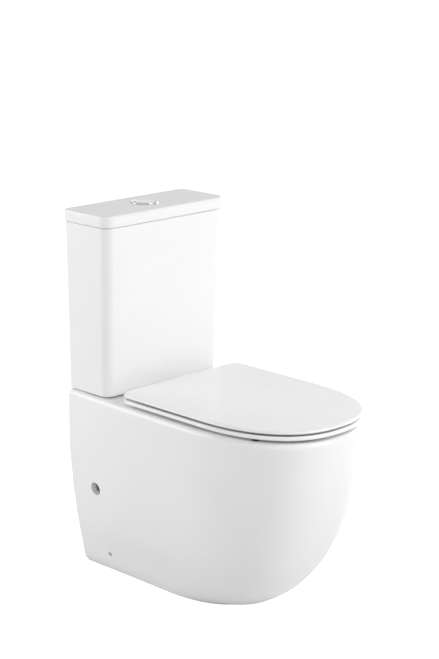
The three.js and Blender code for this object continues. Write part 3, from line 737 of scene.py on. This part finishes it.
def pan():
    """China pan: skirt, bowl, trap and flush channel in one piece, with its openings and holes."""
    half, top = BACK_OPENING["half"], BACK_OPENING["top"]
    opening = block("opening", (-half, y(0.04), -0.01), (half, y(-0.01), top))
    body = cut(skirt(), skirt_hollow(), opening)
    low, under = BOWL_STATIONS[0][0] - 0.010, PAN_TOP - 0.002
    boss = cylinder("boss", BOSS_R, BOSS_FOOT, under, FLUSH_AXIS, rounding=0.004)
    channel = cylinder("channel", CHANNEL_OUTER, y(CHANNEL_FRONT), FLUSH.y, (0, 0, CHANNEL_Z), "Y")
    trap = swept("trap", (*TRAP_ROUTE, (OUTLET_END, OUTLET_Z)), TRAP_BORE + TRAP_WALL)
    combined(body, [bowl_solid(BOWL_WALL, low, under), boss, channel, trap])
    socket_floor = PAN_TOP - SOCKET_DEPTH
    flow_end = y(FLUSH_T - CHANNEL_BORE)
    deep = PAN_TOP - DECK_HOLE_DEPTH
    tools = [
        bowl_tool(),
        swept("trap_bore", (*TRAP_ROUTE, (OUTLET_END - 0.012, OUTLET_Z)), TRAP_BORE),
        hole_tool(SOCKET_R, socket_floor, PAN_TOP, FLUSH_AXIS, 0.002, 72),
        cylinder("inlet", INLET_R, CHANNEL_Z - 0.010, socket_floor + 0.001, FLUSH_AXIS),
        cylinder("flow", CHANNEL_BORE, y(FLOW_FRONT), flow_end, (0, 0, CHANNEL_Z), "Y"),
        hole_tool(DECK_FILL_HOLE, deep, PAN_TOP, (FILL.x, FILL.y, 0)),
    ]
    for side in (-1, 1):
        tools.append(hole_tool(BOLT_HOLE, deep, PAN_TOP, (side * BOLT_X, FLUSH.y, 0), 0.001))
        tools.append(hole_tool(STUD_HOLE, deep, PAN_TOP, (side * STUD_X, y(STUD_T), 0), 0.001))
        tools.append(side_hole_tool(ACCESS_HOLE, side))
        tools.append(side_hole_tool(SCREW_HOLE, side, 0.0008))
    return dressed(cut(body, *tools), "pan", CHINA)


# ---------------------------------------------------------------- cistern and its lid
def tank_outline(half, back, front, front_corner, back_corner):
    """Rounded rectangle with its own corner radii at the front and at the back."""
    points = [(0, y(front))]
    for a in spaced(-math.pi / 2, 0, 12):
        points.append((half - front_corner + front_corner * math.cos(a),
                       y(front - front_corner) + front_corner * math.sin(a)))
    for a in spaced(0, math.pi / 2, 8):
        points.append((half - back_corner + back_corner * math.cos(a),
                       y(back + back_corner) + back_corner * math.sin(a)))
    return mirrored(points)


def tank_section(z, inset):
    """Outline of the cistern at height z; it widens upwards."""
    share = (z - TANK_LOW.z) / (TANK_HIGH.z - TANK_LOW.z)
    half = TANK_HALF_LOW + (TANK_HALF_HIGH - TANK_HALF_LOW) * share - inset
    front = TANK_FRONT_LOW + (TANK_FRONT_HIGH - TANK_FRONT_LOW) * share - inset
    front_corner, back_corner = (radius - inset * 0.7 for radius in TANK_CORNERS)
    return tank_outline(half, TANK_BACK + inset, front, front_corner, back_corner)


def edge_layers(low, high, low_round, high_round, section, levels=10):
    """Layers of a wall with rounded lower and upper edges; section(z, inset) gives outlines."""
    layers = []
    for a in spaced(0, math.pi / 2, 6):
        layers.append((low + low_round * (1 - math.sin(a)), low_round * (1 - math.cos(a))))
    layers.reverse()
    for z in spaced(low + low_round, high - high_round, levels)[1:]:
        layers.append((z, 0.0))
    for a in spaced(0, math.pi / 2, 5)[1:]:
        layers.append((high - high_round + high_round * math.sin(a),
                       high_round * (1 - math.cos(a))))
    return [(z, section(z, inset)) for z, inset in layers]


def cistern():
    """Cistern with a rebate round its top, so that a dark line shows under the lid."""
    ledge = TANK_HIGH.z - TANK_REBATE
    layers = edge_layers(TANK_LOW.z, ledge, TANK_FOOT_ROUND, 0.0008, tank_section)
    layers += [(z, tank_section(z, REBATE_DEPTH)) for z in (ledge + 0.0001, TANK_HIGH.z)]
    outer = lofted("cistern_china", layers)
    floor = TANK_LOW.z + TANK_FLOOR
    inside = [
        (floor, TANK_WALL + 0.006), (floor + 0.002, TANK_WALL + 0.002), (floor + 0.006, TANK_WALL),
        (TANK_HIGH.z - 0.0015, TANK_WALL), (TANK_HIGH.z, TANK_WALL - 0.0012),
        (TANK_HIGH.z + 0.002, TANK_WALL - 0.0012),
    ]
    tools = [lofted("inside", [(z, tank_section(z, inset)) for z, inset in inside])]
    holes = ((0, TANK_FLUSH_HOLE), (FILL.x, TANK_FILL_HOLE),
             (BOLT_X, BOLT_HOLE), (-BOLT_X, BOLT_HOLE))
    for px, radius in holes:
        tools.append(cylinder("hole", radius, TANK_LOW.z - 0.01, floor + 0.01, (px, FLUSH.y, 0)))
    return dressed(cut(outer, *tools), "cistern", CHINA)


def lid_section(z, inset):
    """Outline of the cistern lid, the same at every height z."""
    front_corner, back_corner = (radius - inset * 0.6 for radius in LID_CORNERS)
    return tank_outline(LID_HALF - inset, inset, LID_DEPTH - inset, front_corner, back_corner)


def cistern_lid():
    """Hollow cistern lid with the hole for the button."""
    layers = edge_layers(LID_LOW.z, LID_HIGH.z, 0.0022, 0.004, lid_section, 4)
    outer = lofted("cistern_lid_china", layers)
    ceiling = LID_HIGH.z - LID_PLATE
    inside = [
        (LID_LOW.z - 0.002, 0.0088), (LID_LOW.z, 0.0088), (LID_LOW.z + 0.0015, 0.010),
        (ceiling - 0.004, 0.010), (ceiling - 0.001, 0.012), (ceiling, 0.016),
    ]
    tools = [
        lofted("inside", [(z, lid_section(z, inset)) for z, inset in inside]),
        hole_tool(LID_HOLE, ceiling - 0.01, LID_HIGH.z, FLUSH_AXIS, 0.001, 72),
    ]
    return dressed(cut(outer, *tools), "cistern_lid", CHINA)


# ---------------------------------------------------------------- button
def bezel():
    """Chrome ring round the button, with the cup that holds the springs and guides the rods."""
    top, shelf = LID_HIGH.z + BEZEL_RISE, BUTTON_SHELF
    under = shelf - 0.003
    seat = LID_HIGH.z + 0.0003
    corners = [
        (0.0255, under), (0.0275, under), (0.0275, seat), (0.032, seat), (0.0316, top - 0.0010),
        (0.0290, top - 0.0001), (0.0262, top), (0.0242, top - 0.0006), (0.024, top - 0.005),
        (0.024, shelf), (0.003, shelf), (0.003, under), (0.0255, under),
    ]
    ring = turned("bezel_chrome", fillet(corners, 0.0006, 4)[:-1], FLUSH_AXIS, 96)
    combined(ring, [cylinder("plug", 0.006, under, shelf, FLUSH_AXIS)])
    rods = [cylinder("rod_hole", 0.0034, shelf - 0.01, shelf + 0.01, (px, FLUSH.y, 0))
            for px in (-ROD_X, ROD_X)]
    return dressed(cut(ring, *rods), "button_bezel", CHROME)


def button(node, low, high, rod_x):
    """Part of the round button from x low to x high, with its push rod; the cap is a flat dome."""
    box_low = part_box(node)[0]
    top, under = LID_HIGH.z + BUTTON_RISE, BUTTON_UNDER
    dome_rise = 0.0010
    edge = top - dome_rise
    cap = [(0, under), (BUTTON_R, under), (BUTTON_R, edge)]
    for a in spaced(0, math.pi / 2, 14)[1:-1]:
        cap.append((BUTTON_R * math.cos(a) ** 0.5, edge + dome_rise * math.sin(a)))
    cap.append((0, top))
    piece = turned(f"{node}_cap", cap, FLUSH_AXIS, 96)
    keep = block("keep", (low, FLUSH.y - 0.04, under - 0.01), (high, FLUSH.y + 0.04, top + 0.01))
    combined(piece, [keep], "INTERSECT")
    eased(piece, 0.0005, 50)
    rod_foot = (rod_x, FLUSH.y, 0)
    push_rod = cylinder("push_rod", 0.0025, box_low.z, under + 0.002, rod_foot, rounding=0.0004)
    combined(piece, [push_rod])
    return dressed(piece, node, CHROME)


# ---------------------------------------------------------------- seat
HINGE_AXIS = (0, y(HINGE_T), HINGE_Z)


def seat_outline(inset):
    """Superellipse front, straight sides and round rear corners, drawn in by inset."""
    half = SEAT_HALF - inset
    power = 2 / PAN_EXPONENT
    points = []
    for a in spaced(0, math.pi / 2, 44):
        reach = (SEAT_FRONT - inset - SEAT_WIDEST) * max(math.cos(a), 0) ** power
        points.append((half * math.sin(a) ** power, y(SEAT_WIDEST + reach)))
    radius = SEAT_CORNER - inset
    for t in spaced(SEAT_WIDEST, SEAT_REAR + inset + radius, 6)[1:-1]:
        points.append((half, y(t)))
    for a in spaced(0, math.pi / 2, 14):
        points.append((half - radius + radius * math.cos(a),
                       y(SEAT_REAR + inset + radius) + radius * math.sin(a)))
    for px in spaced(half - radius, 0, 6)[1:]:
        points.append((px, y(SEAT_REAR + inset)))
    return points[:-1] + [(-px, py) for px, py in reversed(points[1:])]


def hole_outline(grown, count):
    """Oval hole of the seat ring, from the front, with as many points as the seat's outline."""
    points = []
    for i in range(count):
        a = 2 * math.pi * i / count
        reach = HOLE_FRONT - HOLE_WIDEST if math.cos(a) > 0 else HOLE_WIDEST - HOLE_REAR
        px = (HOLE_HALF + grown) * bulged(math.sin(a), HOLE_POWER)
        points.append((px, y(HOLE_WIDEST + (reach + grown) * bulged(math.cos(a), HOLE_POWER))))
    return points


def hinge_tools():
    """Notches in the ring's rear edge, one for each hinge post."""
    (front, back), (low, high) = NOTCH_DEPTHS, NOTCH_HEIGHTS
    tools = []
    for side in (-1, 1):
        left, right = side * STUD_X - HINGE_NOTCH, side * STUD_X + HINGE_NOTCH
        tools.append(block("notch", (left, y(front), low), (right, y(back), high), 0.002))
    return tools


def hinge_lugs(near, far, high):
    """Lugs round both hinge pins, from near to far on each side of a post, with webs up to high."""
    lugs = []
    for side in (-1, 1):
        for end in (-1, 1):
            x0, x1 = sorted((side * STUD_X + end * near, side * STUD_X + end * far))
            lugs.append(cylinder("lug", HINGE_BARREL, x0, x1, HINGE_AXIS, "X", 0.0006, 48))
            web_low, web_high = (x0, y(HINGE_T + HINGE_BARREL), HINGE_Z), (x1, y(HINGE_T), high)
            lugs.append(block("web", web_low, web_high))
    return lugs


def hinge_bores():
    """Bores for the pins through the lugs."""
    return [cylinder("bore", PIN_BORE, side * STUD_X - LUG_END, side * STUD_X + LUG_END,
                     HINGE_AXIS, "X", sides=32) for side in (-1, 1)]


def seat_ring():
    """Slim ring with a rounded outer edge and a top that dips towards the hole."""
    low, high = RING_LOW.z, RING_TOP
    soft, foot, inner, under = 0.004, 0.003, 0.002, 0.0018  # rounds of the edges
    floor = high - RING_DISH
    loops = []
    for a in spaced(0, math.pi / 2, 6):
        loops.append((low + foot * (1 - math.sin(a)), "outer", foot * (1 - math.cos(a))))
    loops.reverse()
    for a in spaced(0, math.pi / 2, 6):
        loops.append((high - soft + soft * math.sin(a), "outer", soft * (1 - math.cos(a))))
    loops += [(high - 0.0008, "outer", 0.007), (high - 0.0015, "outer", 0.012),
              (floor, "outer", 0.018), (floor, "outer", 0.026)]
    for a in spaced(math.pi / 2, 0, 6):
        loops.append((floor - inner + inner * math.sin(a), "hole", inner * (1 - math.cos(a))))
    for a in spaced(0, math.pi / 2, 5):
        loops.append((low + under * (1 - math.sin(a)), "hole", under * (1 - math.cos(a))))
    count = len(seat_outline(0))
    rings = []
    for z, kind, inset in loops:
        outline = seat_outline(inset) if kind == "outer" else hole_outline(inset, count)
        rings.append(at_height(outline, z))
    ring = skinned("seat_ring_plastic", rings, wrapped=True)
    cut(ring, *hinge_tools())
    combined(ring, hinge_lugs(HINGE_NOTCH, LUG_END, RING_TOP - 0.0003))
    return dressed(cut(ring, *hinge_bores()), "seat_ring", SEAT_PLASTIC)


def seat_lid():
    """Slim lid with a barely crowned top, rounded edges and a shallow recess underneath."""
    low, high = COVER_UNDER, COVER_HIGH.z
    soft, foot, crown, recess = 0.0038, 0.0034, 0.0012, 0.0015
    centre = Vector((0, y(0.40)))
    rings = []

    def shrunk(outline, share, z):
        points = [centre + (Vector(p) - centre) * share for p in outline]
        return at_height(points, z)

    for share in (0.12, 0.35, 0.6, 0.8, 0.9):
        rings.append(shrunk(seat_outline(0.012), share, low + recess))
    rings.append(at_height(seat_outline(0.014), low + recess))
    rings.append(at_height(seat_outline(0.011), low + 0.0002))
    rings.append(at_height(seat_outline(0.009), low))
    for a in spaced(math.pi / 2, 0, 5):
        outline = seat_outline(foot * (1 - math.cos(a)))
        rings.append(at_height(outline, low + foot * (1 - math.sin(a))))
    for a in spaced(0, math.pi / 2, 8):
        outline = seat_outline(soft * (1 - math.cos(a)))
        rings.append(at_height(outline, high - crown - soft + soft * math.sin(a)))
    top_edge = seat_outline(soft)
    for share in (0.985, 0.95, 0.88, 0.78, 0.66, 0.52, 0.38, 0.24, 0.10):
        rings.append(shrunk(top_edge, share, high - crown * share ** 3))
    lid = skinned("seat_lid_plastic", rings)
    combined(lid, hinge_lugs(HINGE_HALF + 0.0005, HINGE_NOTCH - 0.0006, low + 0.003))
    return dressed(cut(lid, *hinge_bores()), "seat_lid", SEAT_PLASTIC)


def hinge_post(word, side):
    """Chrome hinge post: barrel round the pin, neck, and foot reaching forward over its stud."""
    px = side * STUD_X
    left, right = px - HINGE_HALF, px + HINGE_HALF
    foot_z = PAN_TOP + 0.0003
    foot_top = foot_z + 0.0046
    front, back = y(HINGE_T) - 0.0055, y(HINGE_T) + 0.0035
    stud = (px, y(STUD_T), 0)
    barrel = cylinder(f"hinge_post_{word}_chrome", HINGE_BARREL, left, right, HINGE_AXIS, "X",
                      0.0008, 64)
    foot = cylinder("foot", HINGE_HALF, foot_z, foot_top, stud, rounding=0.0012, sides=72)
    pad = block("pad", (left, y(STUD_T), foot_z), (right, back, foot_top), 0.002)
    neck = block("neck", (left, front, foot_z + 0.001), (right, back, HINGE_Z - 0.001), 0.0015)
    combined(barrel, [foot, pad, neck])
    cut(barrel, cylinder("bore", 0.0046, px - 0.02, px + 0.02, HINGE_AXIS, "X", sides=40),
        cylinder("stud_hole", 0.0043, foot_z - 0.001, foot_z + 0.0034, stud, sides=40))
    return dressed(barrel, f"hinge_post_{word}", CHROME)


# ---------------------------------------------------------------- fittings
def turned_fittings():
    """Round fittings from profiles of (radius, z), about the middle of their CAD nodes."""
    floor = TANK_LOW.z + TANK_FLOOR
    flange = floor + 0.0036
    disc = SEAL_SEAT + 0.004

    def washer(inner, outer, low, high):
        return [(inner, low), (outer, low), (outer, high), (inner, high)]

    rows = (
        ("riser_float", VALVE_PLASTIC, washer(0.0113, 0.026, 0.560, 0.590)),
        ("flush_seal", RUBBER, washer(0.009, 0.028, SEAL_SEAT + 0.0003, SEAL_SEAT + 0.0037)),
        ("flush_base_washer", RUBBER, washer(0.0325, 0.042, floor + 0.0003, floor + 0.0033)),
        ("coupling_seal", RUBBER, [
            (0.031, 0.3983), (0.051, 0.3983), (0.051, 0.4312), (0.0435, 0.4312),
            (0.0435, 0.4209), (0.031, 0.4209),
        ]),
        ("fill_valve_body", VALVE_PLASTIC, [
            (0.005, 0.398), (0.0095, 0.398), (0.0095, flange), (0.020, flange),
            (0.020, flange + 0.004), (0.012, flange + 0.004), (0.012, 0.738), (0.005, 0.738),
        ]),
        ("fill_shank_washer", RUBBER, washer(0.010, 0.018, floor + 0.0003, floor + 0.0033)),
    )
    for node, material, corners in rows:
        place = centre_of(node)
        first = ((corners[0][0] + corners[1][0]) / 2, corners[0][1])
        profile = fillet([first, *corners[1:], corners[0], first], 0.0005, 3)
        piece = turned(f"{node}_turned", profile[:-1], (place.x, place.y, 0))
        dressed(piece, node, material)
    corners = [
        (0.018, disc), (0.026, disc), (0.026, disc + 0.004), (0.011, disc + 0.004),
        (0.011, 0.745), (0.009, 0.745), (0.009, disc), (0.018, disc),
    ]
    riser = turned("flush_riser_turned", fillet(corners, 0.0005, 3)[:-1], FLUSH_AXIS)
    low, high = (0.002, FLUSH.y - 0.018, LEVER_LUGS), (0.012, FLUSH.y + 0.018, LEVER_LUGS + 0.003)
    bore = cylinder("inside", 0.0095, LEVER_LUGS - 0.001, LEVER_LUGS + 0.004, FLUSH_AXIS)
    bar = cut(block("bar", low, high, 0.001), bore)
    dressed(combined(riser, [bar]), "flush_riser", BLUE_PLASTIC)
    for word, side in (("left", -1), ("right", 1)):
        for prefix in ("ring_bumper_rear", "ring_bumper_front", "lid_bumper", "cistern_pad"):
            node = f"{prefix}_{word}"
            low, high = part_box(node)
            middle = (low + high) / 2
            radius = (high.x - low.x) / 2
            foot = (middle.x, middle.y, 0)
            pad = cylinder(f"{node}_pad", radius, low.z, high.z, foot, rounding=0.0004)
            dressed(pad, node, RUBBER)


def connector():
    """Outlet collar and its seal, about the outlet's axis."""
    spigot = TRAP_BORE + TRAP_WALL
    middle = Vector((0, WALL, OUTLET_Z))
    for node, material, inner, outer, near, far in (
        ("pan_connector", VALVE_PLASTIC, spigot + 0.004, spigot + 0.007, 0.0005, 0.040),
        ("connector_seal", RUBBER, spigot + 0.0005, spigot + 0.0036, 0.024, 0.036),
    ):
        piece = ring_bar(f"{node}_ring", inner, outer, -far, -near, middle, "Y")
        dressed(piece, node, material)


def springs():
    """Button springs, each a coil of round wire round its push rod."""
    for word, rod_x in (("full", -ROD_X), ("half", ROD_X)):
        node = f"{word}_button_spring"
        low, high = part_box(node)
        wire = coil(f"{node}_coil", 0.0043, 0.0006, low.z, high.z, 4, (rod_x, FLUSH.y, 0))
        dressed(wire, node, STEEL)
        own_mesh(wire)


def refined(node, material, width):
    """Copy of a CAD node with its flat faces joined and its sharp edges broken."""
    obj = bpy.data.objects.new(f"{node}_fine", frame["nodes"][node].data.copy())
    bpy.context.scene.collection.objects.link(obj)
    bm = bmesh.new()
    bm.from_mesh(obj.data)
    bmesh.ops.remove_doubles(bm, verts=bm.verts, dist=MERGE)
    bmesh.ops.dissolve_limit(bm, angle_limit=math.radians(1), verts=bm.verts, edges=bm.edges)
    bm.to_mesh(obj.data)
    bm.free()
    if obj.data.has_custom_normals:
        bpy.context.view_layer.objects.active = obj
        bpy.ops.mesh.customdata_custom_splitnormals_clear()
    return dressed(eased(obj, width, 40, 2), node, material, 32)


def small_fittings():
    """Fittings with flats: the CAD shape with its edges broken."""
    paired = (
        ("cistern_bolt", BRASS, 0.0004), ("bolt_washer", RUBBER, 0.0003),
        ("wing_nut", BRASS, 0.0006), ("hinge_pin", STEEL, 0.0003),
        ("seat_damper", VALVE_PLASTIC, 0.0002), ("seat_stud", STEEL, 0.0004),
        ("stud_washer", RUBBER, 0.0003), ("stud_nut", VALVE_PLASTIC, 0.0006),
        ("floor_bracket", STEEL, 0.0005), ("side_screw", STEEL, 0.0004),
    )
    single = (
        ("button_housing_nut", VALVE_PLASTIC, 0.0005), ("flush_valve_base", VALVE_PLASTIC, 0.0005),
        ("flush_valve_cage", VALVE_PLASTIC, 0.0005), ("flush_lever", BLUE_PLASTIC, 0.0004),
        ("flush_backnut", VALVE_PLASTIC, 0.0007), ("fill_valve_cap", BLUE_PLASTIC, 0.0004),
        ("float_cup", VALVE_PLASTIC, 0.0005), ("float_arm", BLUE_PLASTIC, 0.0004),
        ("fill_shank_nut", VALVE_PLASTIC, 0.0006),
    )
    for name, material, width in single:
        refined(name, material, width)
    for prefix, material, width in paired:
        for word in ("left", "right"):
            refined(f"{prefix}_{word}", material, width)


# ---------------------------------------------------------------- stage, light and camera
def studio_floor():
    """Pale sweep that the camera sees, and the floor that sends light back to the toilet."""
    corners = [(0.001, 0.0), (SWEEP_RADIUS, 0.0), (SWEEP_RADIUS, SWEEP_HEIGHT)]
    profile = fillet(corners, SWEEP_CURVE, 16)
    sides = 96
    around = [2 * math.pi * i / sides for i in range(sides)]
    verts = [(r * math.cos(a), r * math.sin(a), z) for r, z in profile for a in around]
    faces = [tuple(range(sides))]
    for k in range(len(profile) - 1):
        for i in range(sides):
            j = (i + 1) % sides
            faces.append((k * sides + i, k * sides + j, (k + 1) * sides + j, (k + 1) * sides + i))
    seen = from_faces("studio_sweep", verts, faces)
    seen.data.polygons.foreach_set("use_smooth", [True] * len(seen.data.polygons))
    material, tree, shader, place = surface("studio_paper", Roughness=0.9, Specular_IOR_Level=0.0)
    shader.inputs["Emission Strength"].default_value = FLOOR_GLOW
    shader.inputs["Emission Color"].default_value = (1, 1, 1, 1)
    tone = between(tree, noise(tree, place, 2.0), (FLOOR_TONE - 0.01,) * 3, (FLOOR_TONE,) * 3)
    tree.links.new(tone, shader.inputs["Base Color"])
    material.cycles.emission_sampling = "NONE"
    seen.data.materials.append(material)
    seen.visible_diffuse = False
    seen.visible_glossy = False
    seen.visible_transmission = False
    seen.visible_shadow = False
    size = BOUNCE_HALF
    square = [(-size, -size, 0), (size, -size, 0), (size, size, 0), (-size, size, 0)]
    giving = from_faces("bounce_floor", square, [(0, 1, 2, 3)])
    paper = surface("bounce_paper", Roughness=0.9, Base_Color=(BOUNCE_TONE,) * 3 + (1,))[0]
    giving.data.materials.append(paper)
    giving.location.z = -0.001
    giving.visible_camera = False


def softbox(name, place, power):
    """Square soft light aimed at the middle of the toilet."""
    light = bpy.data.lights.new(name, "AREA")
    light.shape = "SQUARE"
    light.size = SOFTBOX_SIZE
    light.energy = power
    obj = bpy.data.objects.new(name, light)
    bpy.context.scene.collection.objects.link(obj)
    obj.location = place
    aim = Vector((0, 0, AIM_HEIGHT)) - Vector(place)
    obj.rotation_euler = aim.to_track_quat("-Z", "Y").to_euler()
    obj.visible_camera = False


def studio_light():
    """Room bright behind the camera and the toilet, dark at the sides, and three soft lights."""
    world = bpy.data.worlds.new("studio")
    bpy.context.scene.world = world
    world.use_nodes = True
    tree = world.node_tree
    background = tree.nodes["Background"]
    place = tree.nodes.new("ShaderNodeTexCoord")
    facing = tree.nodes.new("ShaderNodeVectorMath")
    facing.operation = "DOT_PRODUCT"
    facing.inputs[1].default_value = Vector(BRIGHT_AXIS).normalized()
    tree.links.new(place.outputs["Generated"], facing.inputs[0])
    either_way = tree.nodes.new("ShaderNodeMath")
    either_way.operation = "ABSOLUTE"
    tree.links.new(facing.outputs["Value"], either_way.inputs[0])
    glow = tree.nodes.new("ShaderNodeMapRange")
    glow.interpolation_type = "SMOOTHSTEP"
    glow.inputs["To Min"].default_value = SIDE_GLOW
    glow.inputs["To Max"].default_value = END_GLOW
    tree.links.new(either_way.outputs["Value"], glow.inputs["Value"])
    tree.links.new(glow.outputs["Result"], background.inputs["Strength"])
    background.inputs["Color"].default_value = (1.0, 1.0, 1.0, 1)
    for name, spot, power in SOFTBOXES:
        softbox(name, spot, power)


def camera():
    """Camera from its place, yaw, pitch and roll."""
    data = bpy.data.cameras.new("camera")
    obj = bpy.data.objects.new("camera", data)
    bpy.context.scene.collection.objects.link(obj)
    yaw, pitch, roll = (math.radians(a) for a in (CAMERA_YAW, CAMERA_PITCH, CAMERA_ROLL))
    level = math.cos(pitch)
    ahead = Vector((math.sin(yaw) * level, math.cos(yaw) * level, -math.sin(pitch)))
    right = Vector((math.cos(yaw), -math.sin(yaw), 0))
    up = right.cross(ahead)
    right, up = (right * math.cos(roll) + up * math.sin(roll),
                 up * math.cos(roll) - right * math.sin(roll))
    turn = Matrix((right, up, -ahead)).transposed().to_4x4()
    obj.matrix_world = Matrix.Translation(CAMERA_PLACE) @ turn
    data.sensor_width = SENSOR_MM
    data.lens = LENS_MM
    data.shift_x, data.shift_y = SHIFT
    data.clip_end = 100
    bpy.context.scene.camera = obj
    bpy.context.scene.view_settings.view_transform = "Standard"


# ---------------------------------------------------------------- assembly
pan()
cistern()
cistern_lid()
bezel()
button("full_flush_button", -0.04, SPLIT_X - SPLIT_GAP, -ROD_X)
button("half_flush_button", SPLIT_X + SPLIT_GAP, 0.04, ROD_X)
seat_ring()
seat_lid()
for hinge_word, hinge_side in (("left", -1), ("right", 1)):
    hinge_post(hinge_word, hinge_side)
turned_fittings()
connector()
springs()
small_fittings()
studio_floor()
studio_light()
camera()
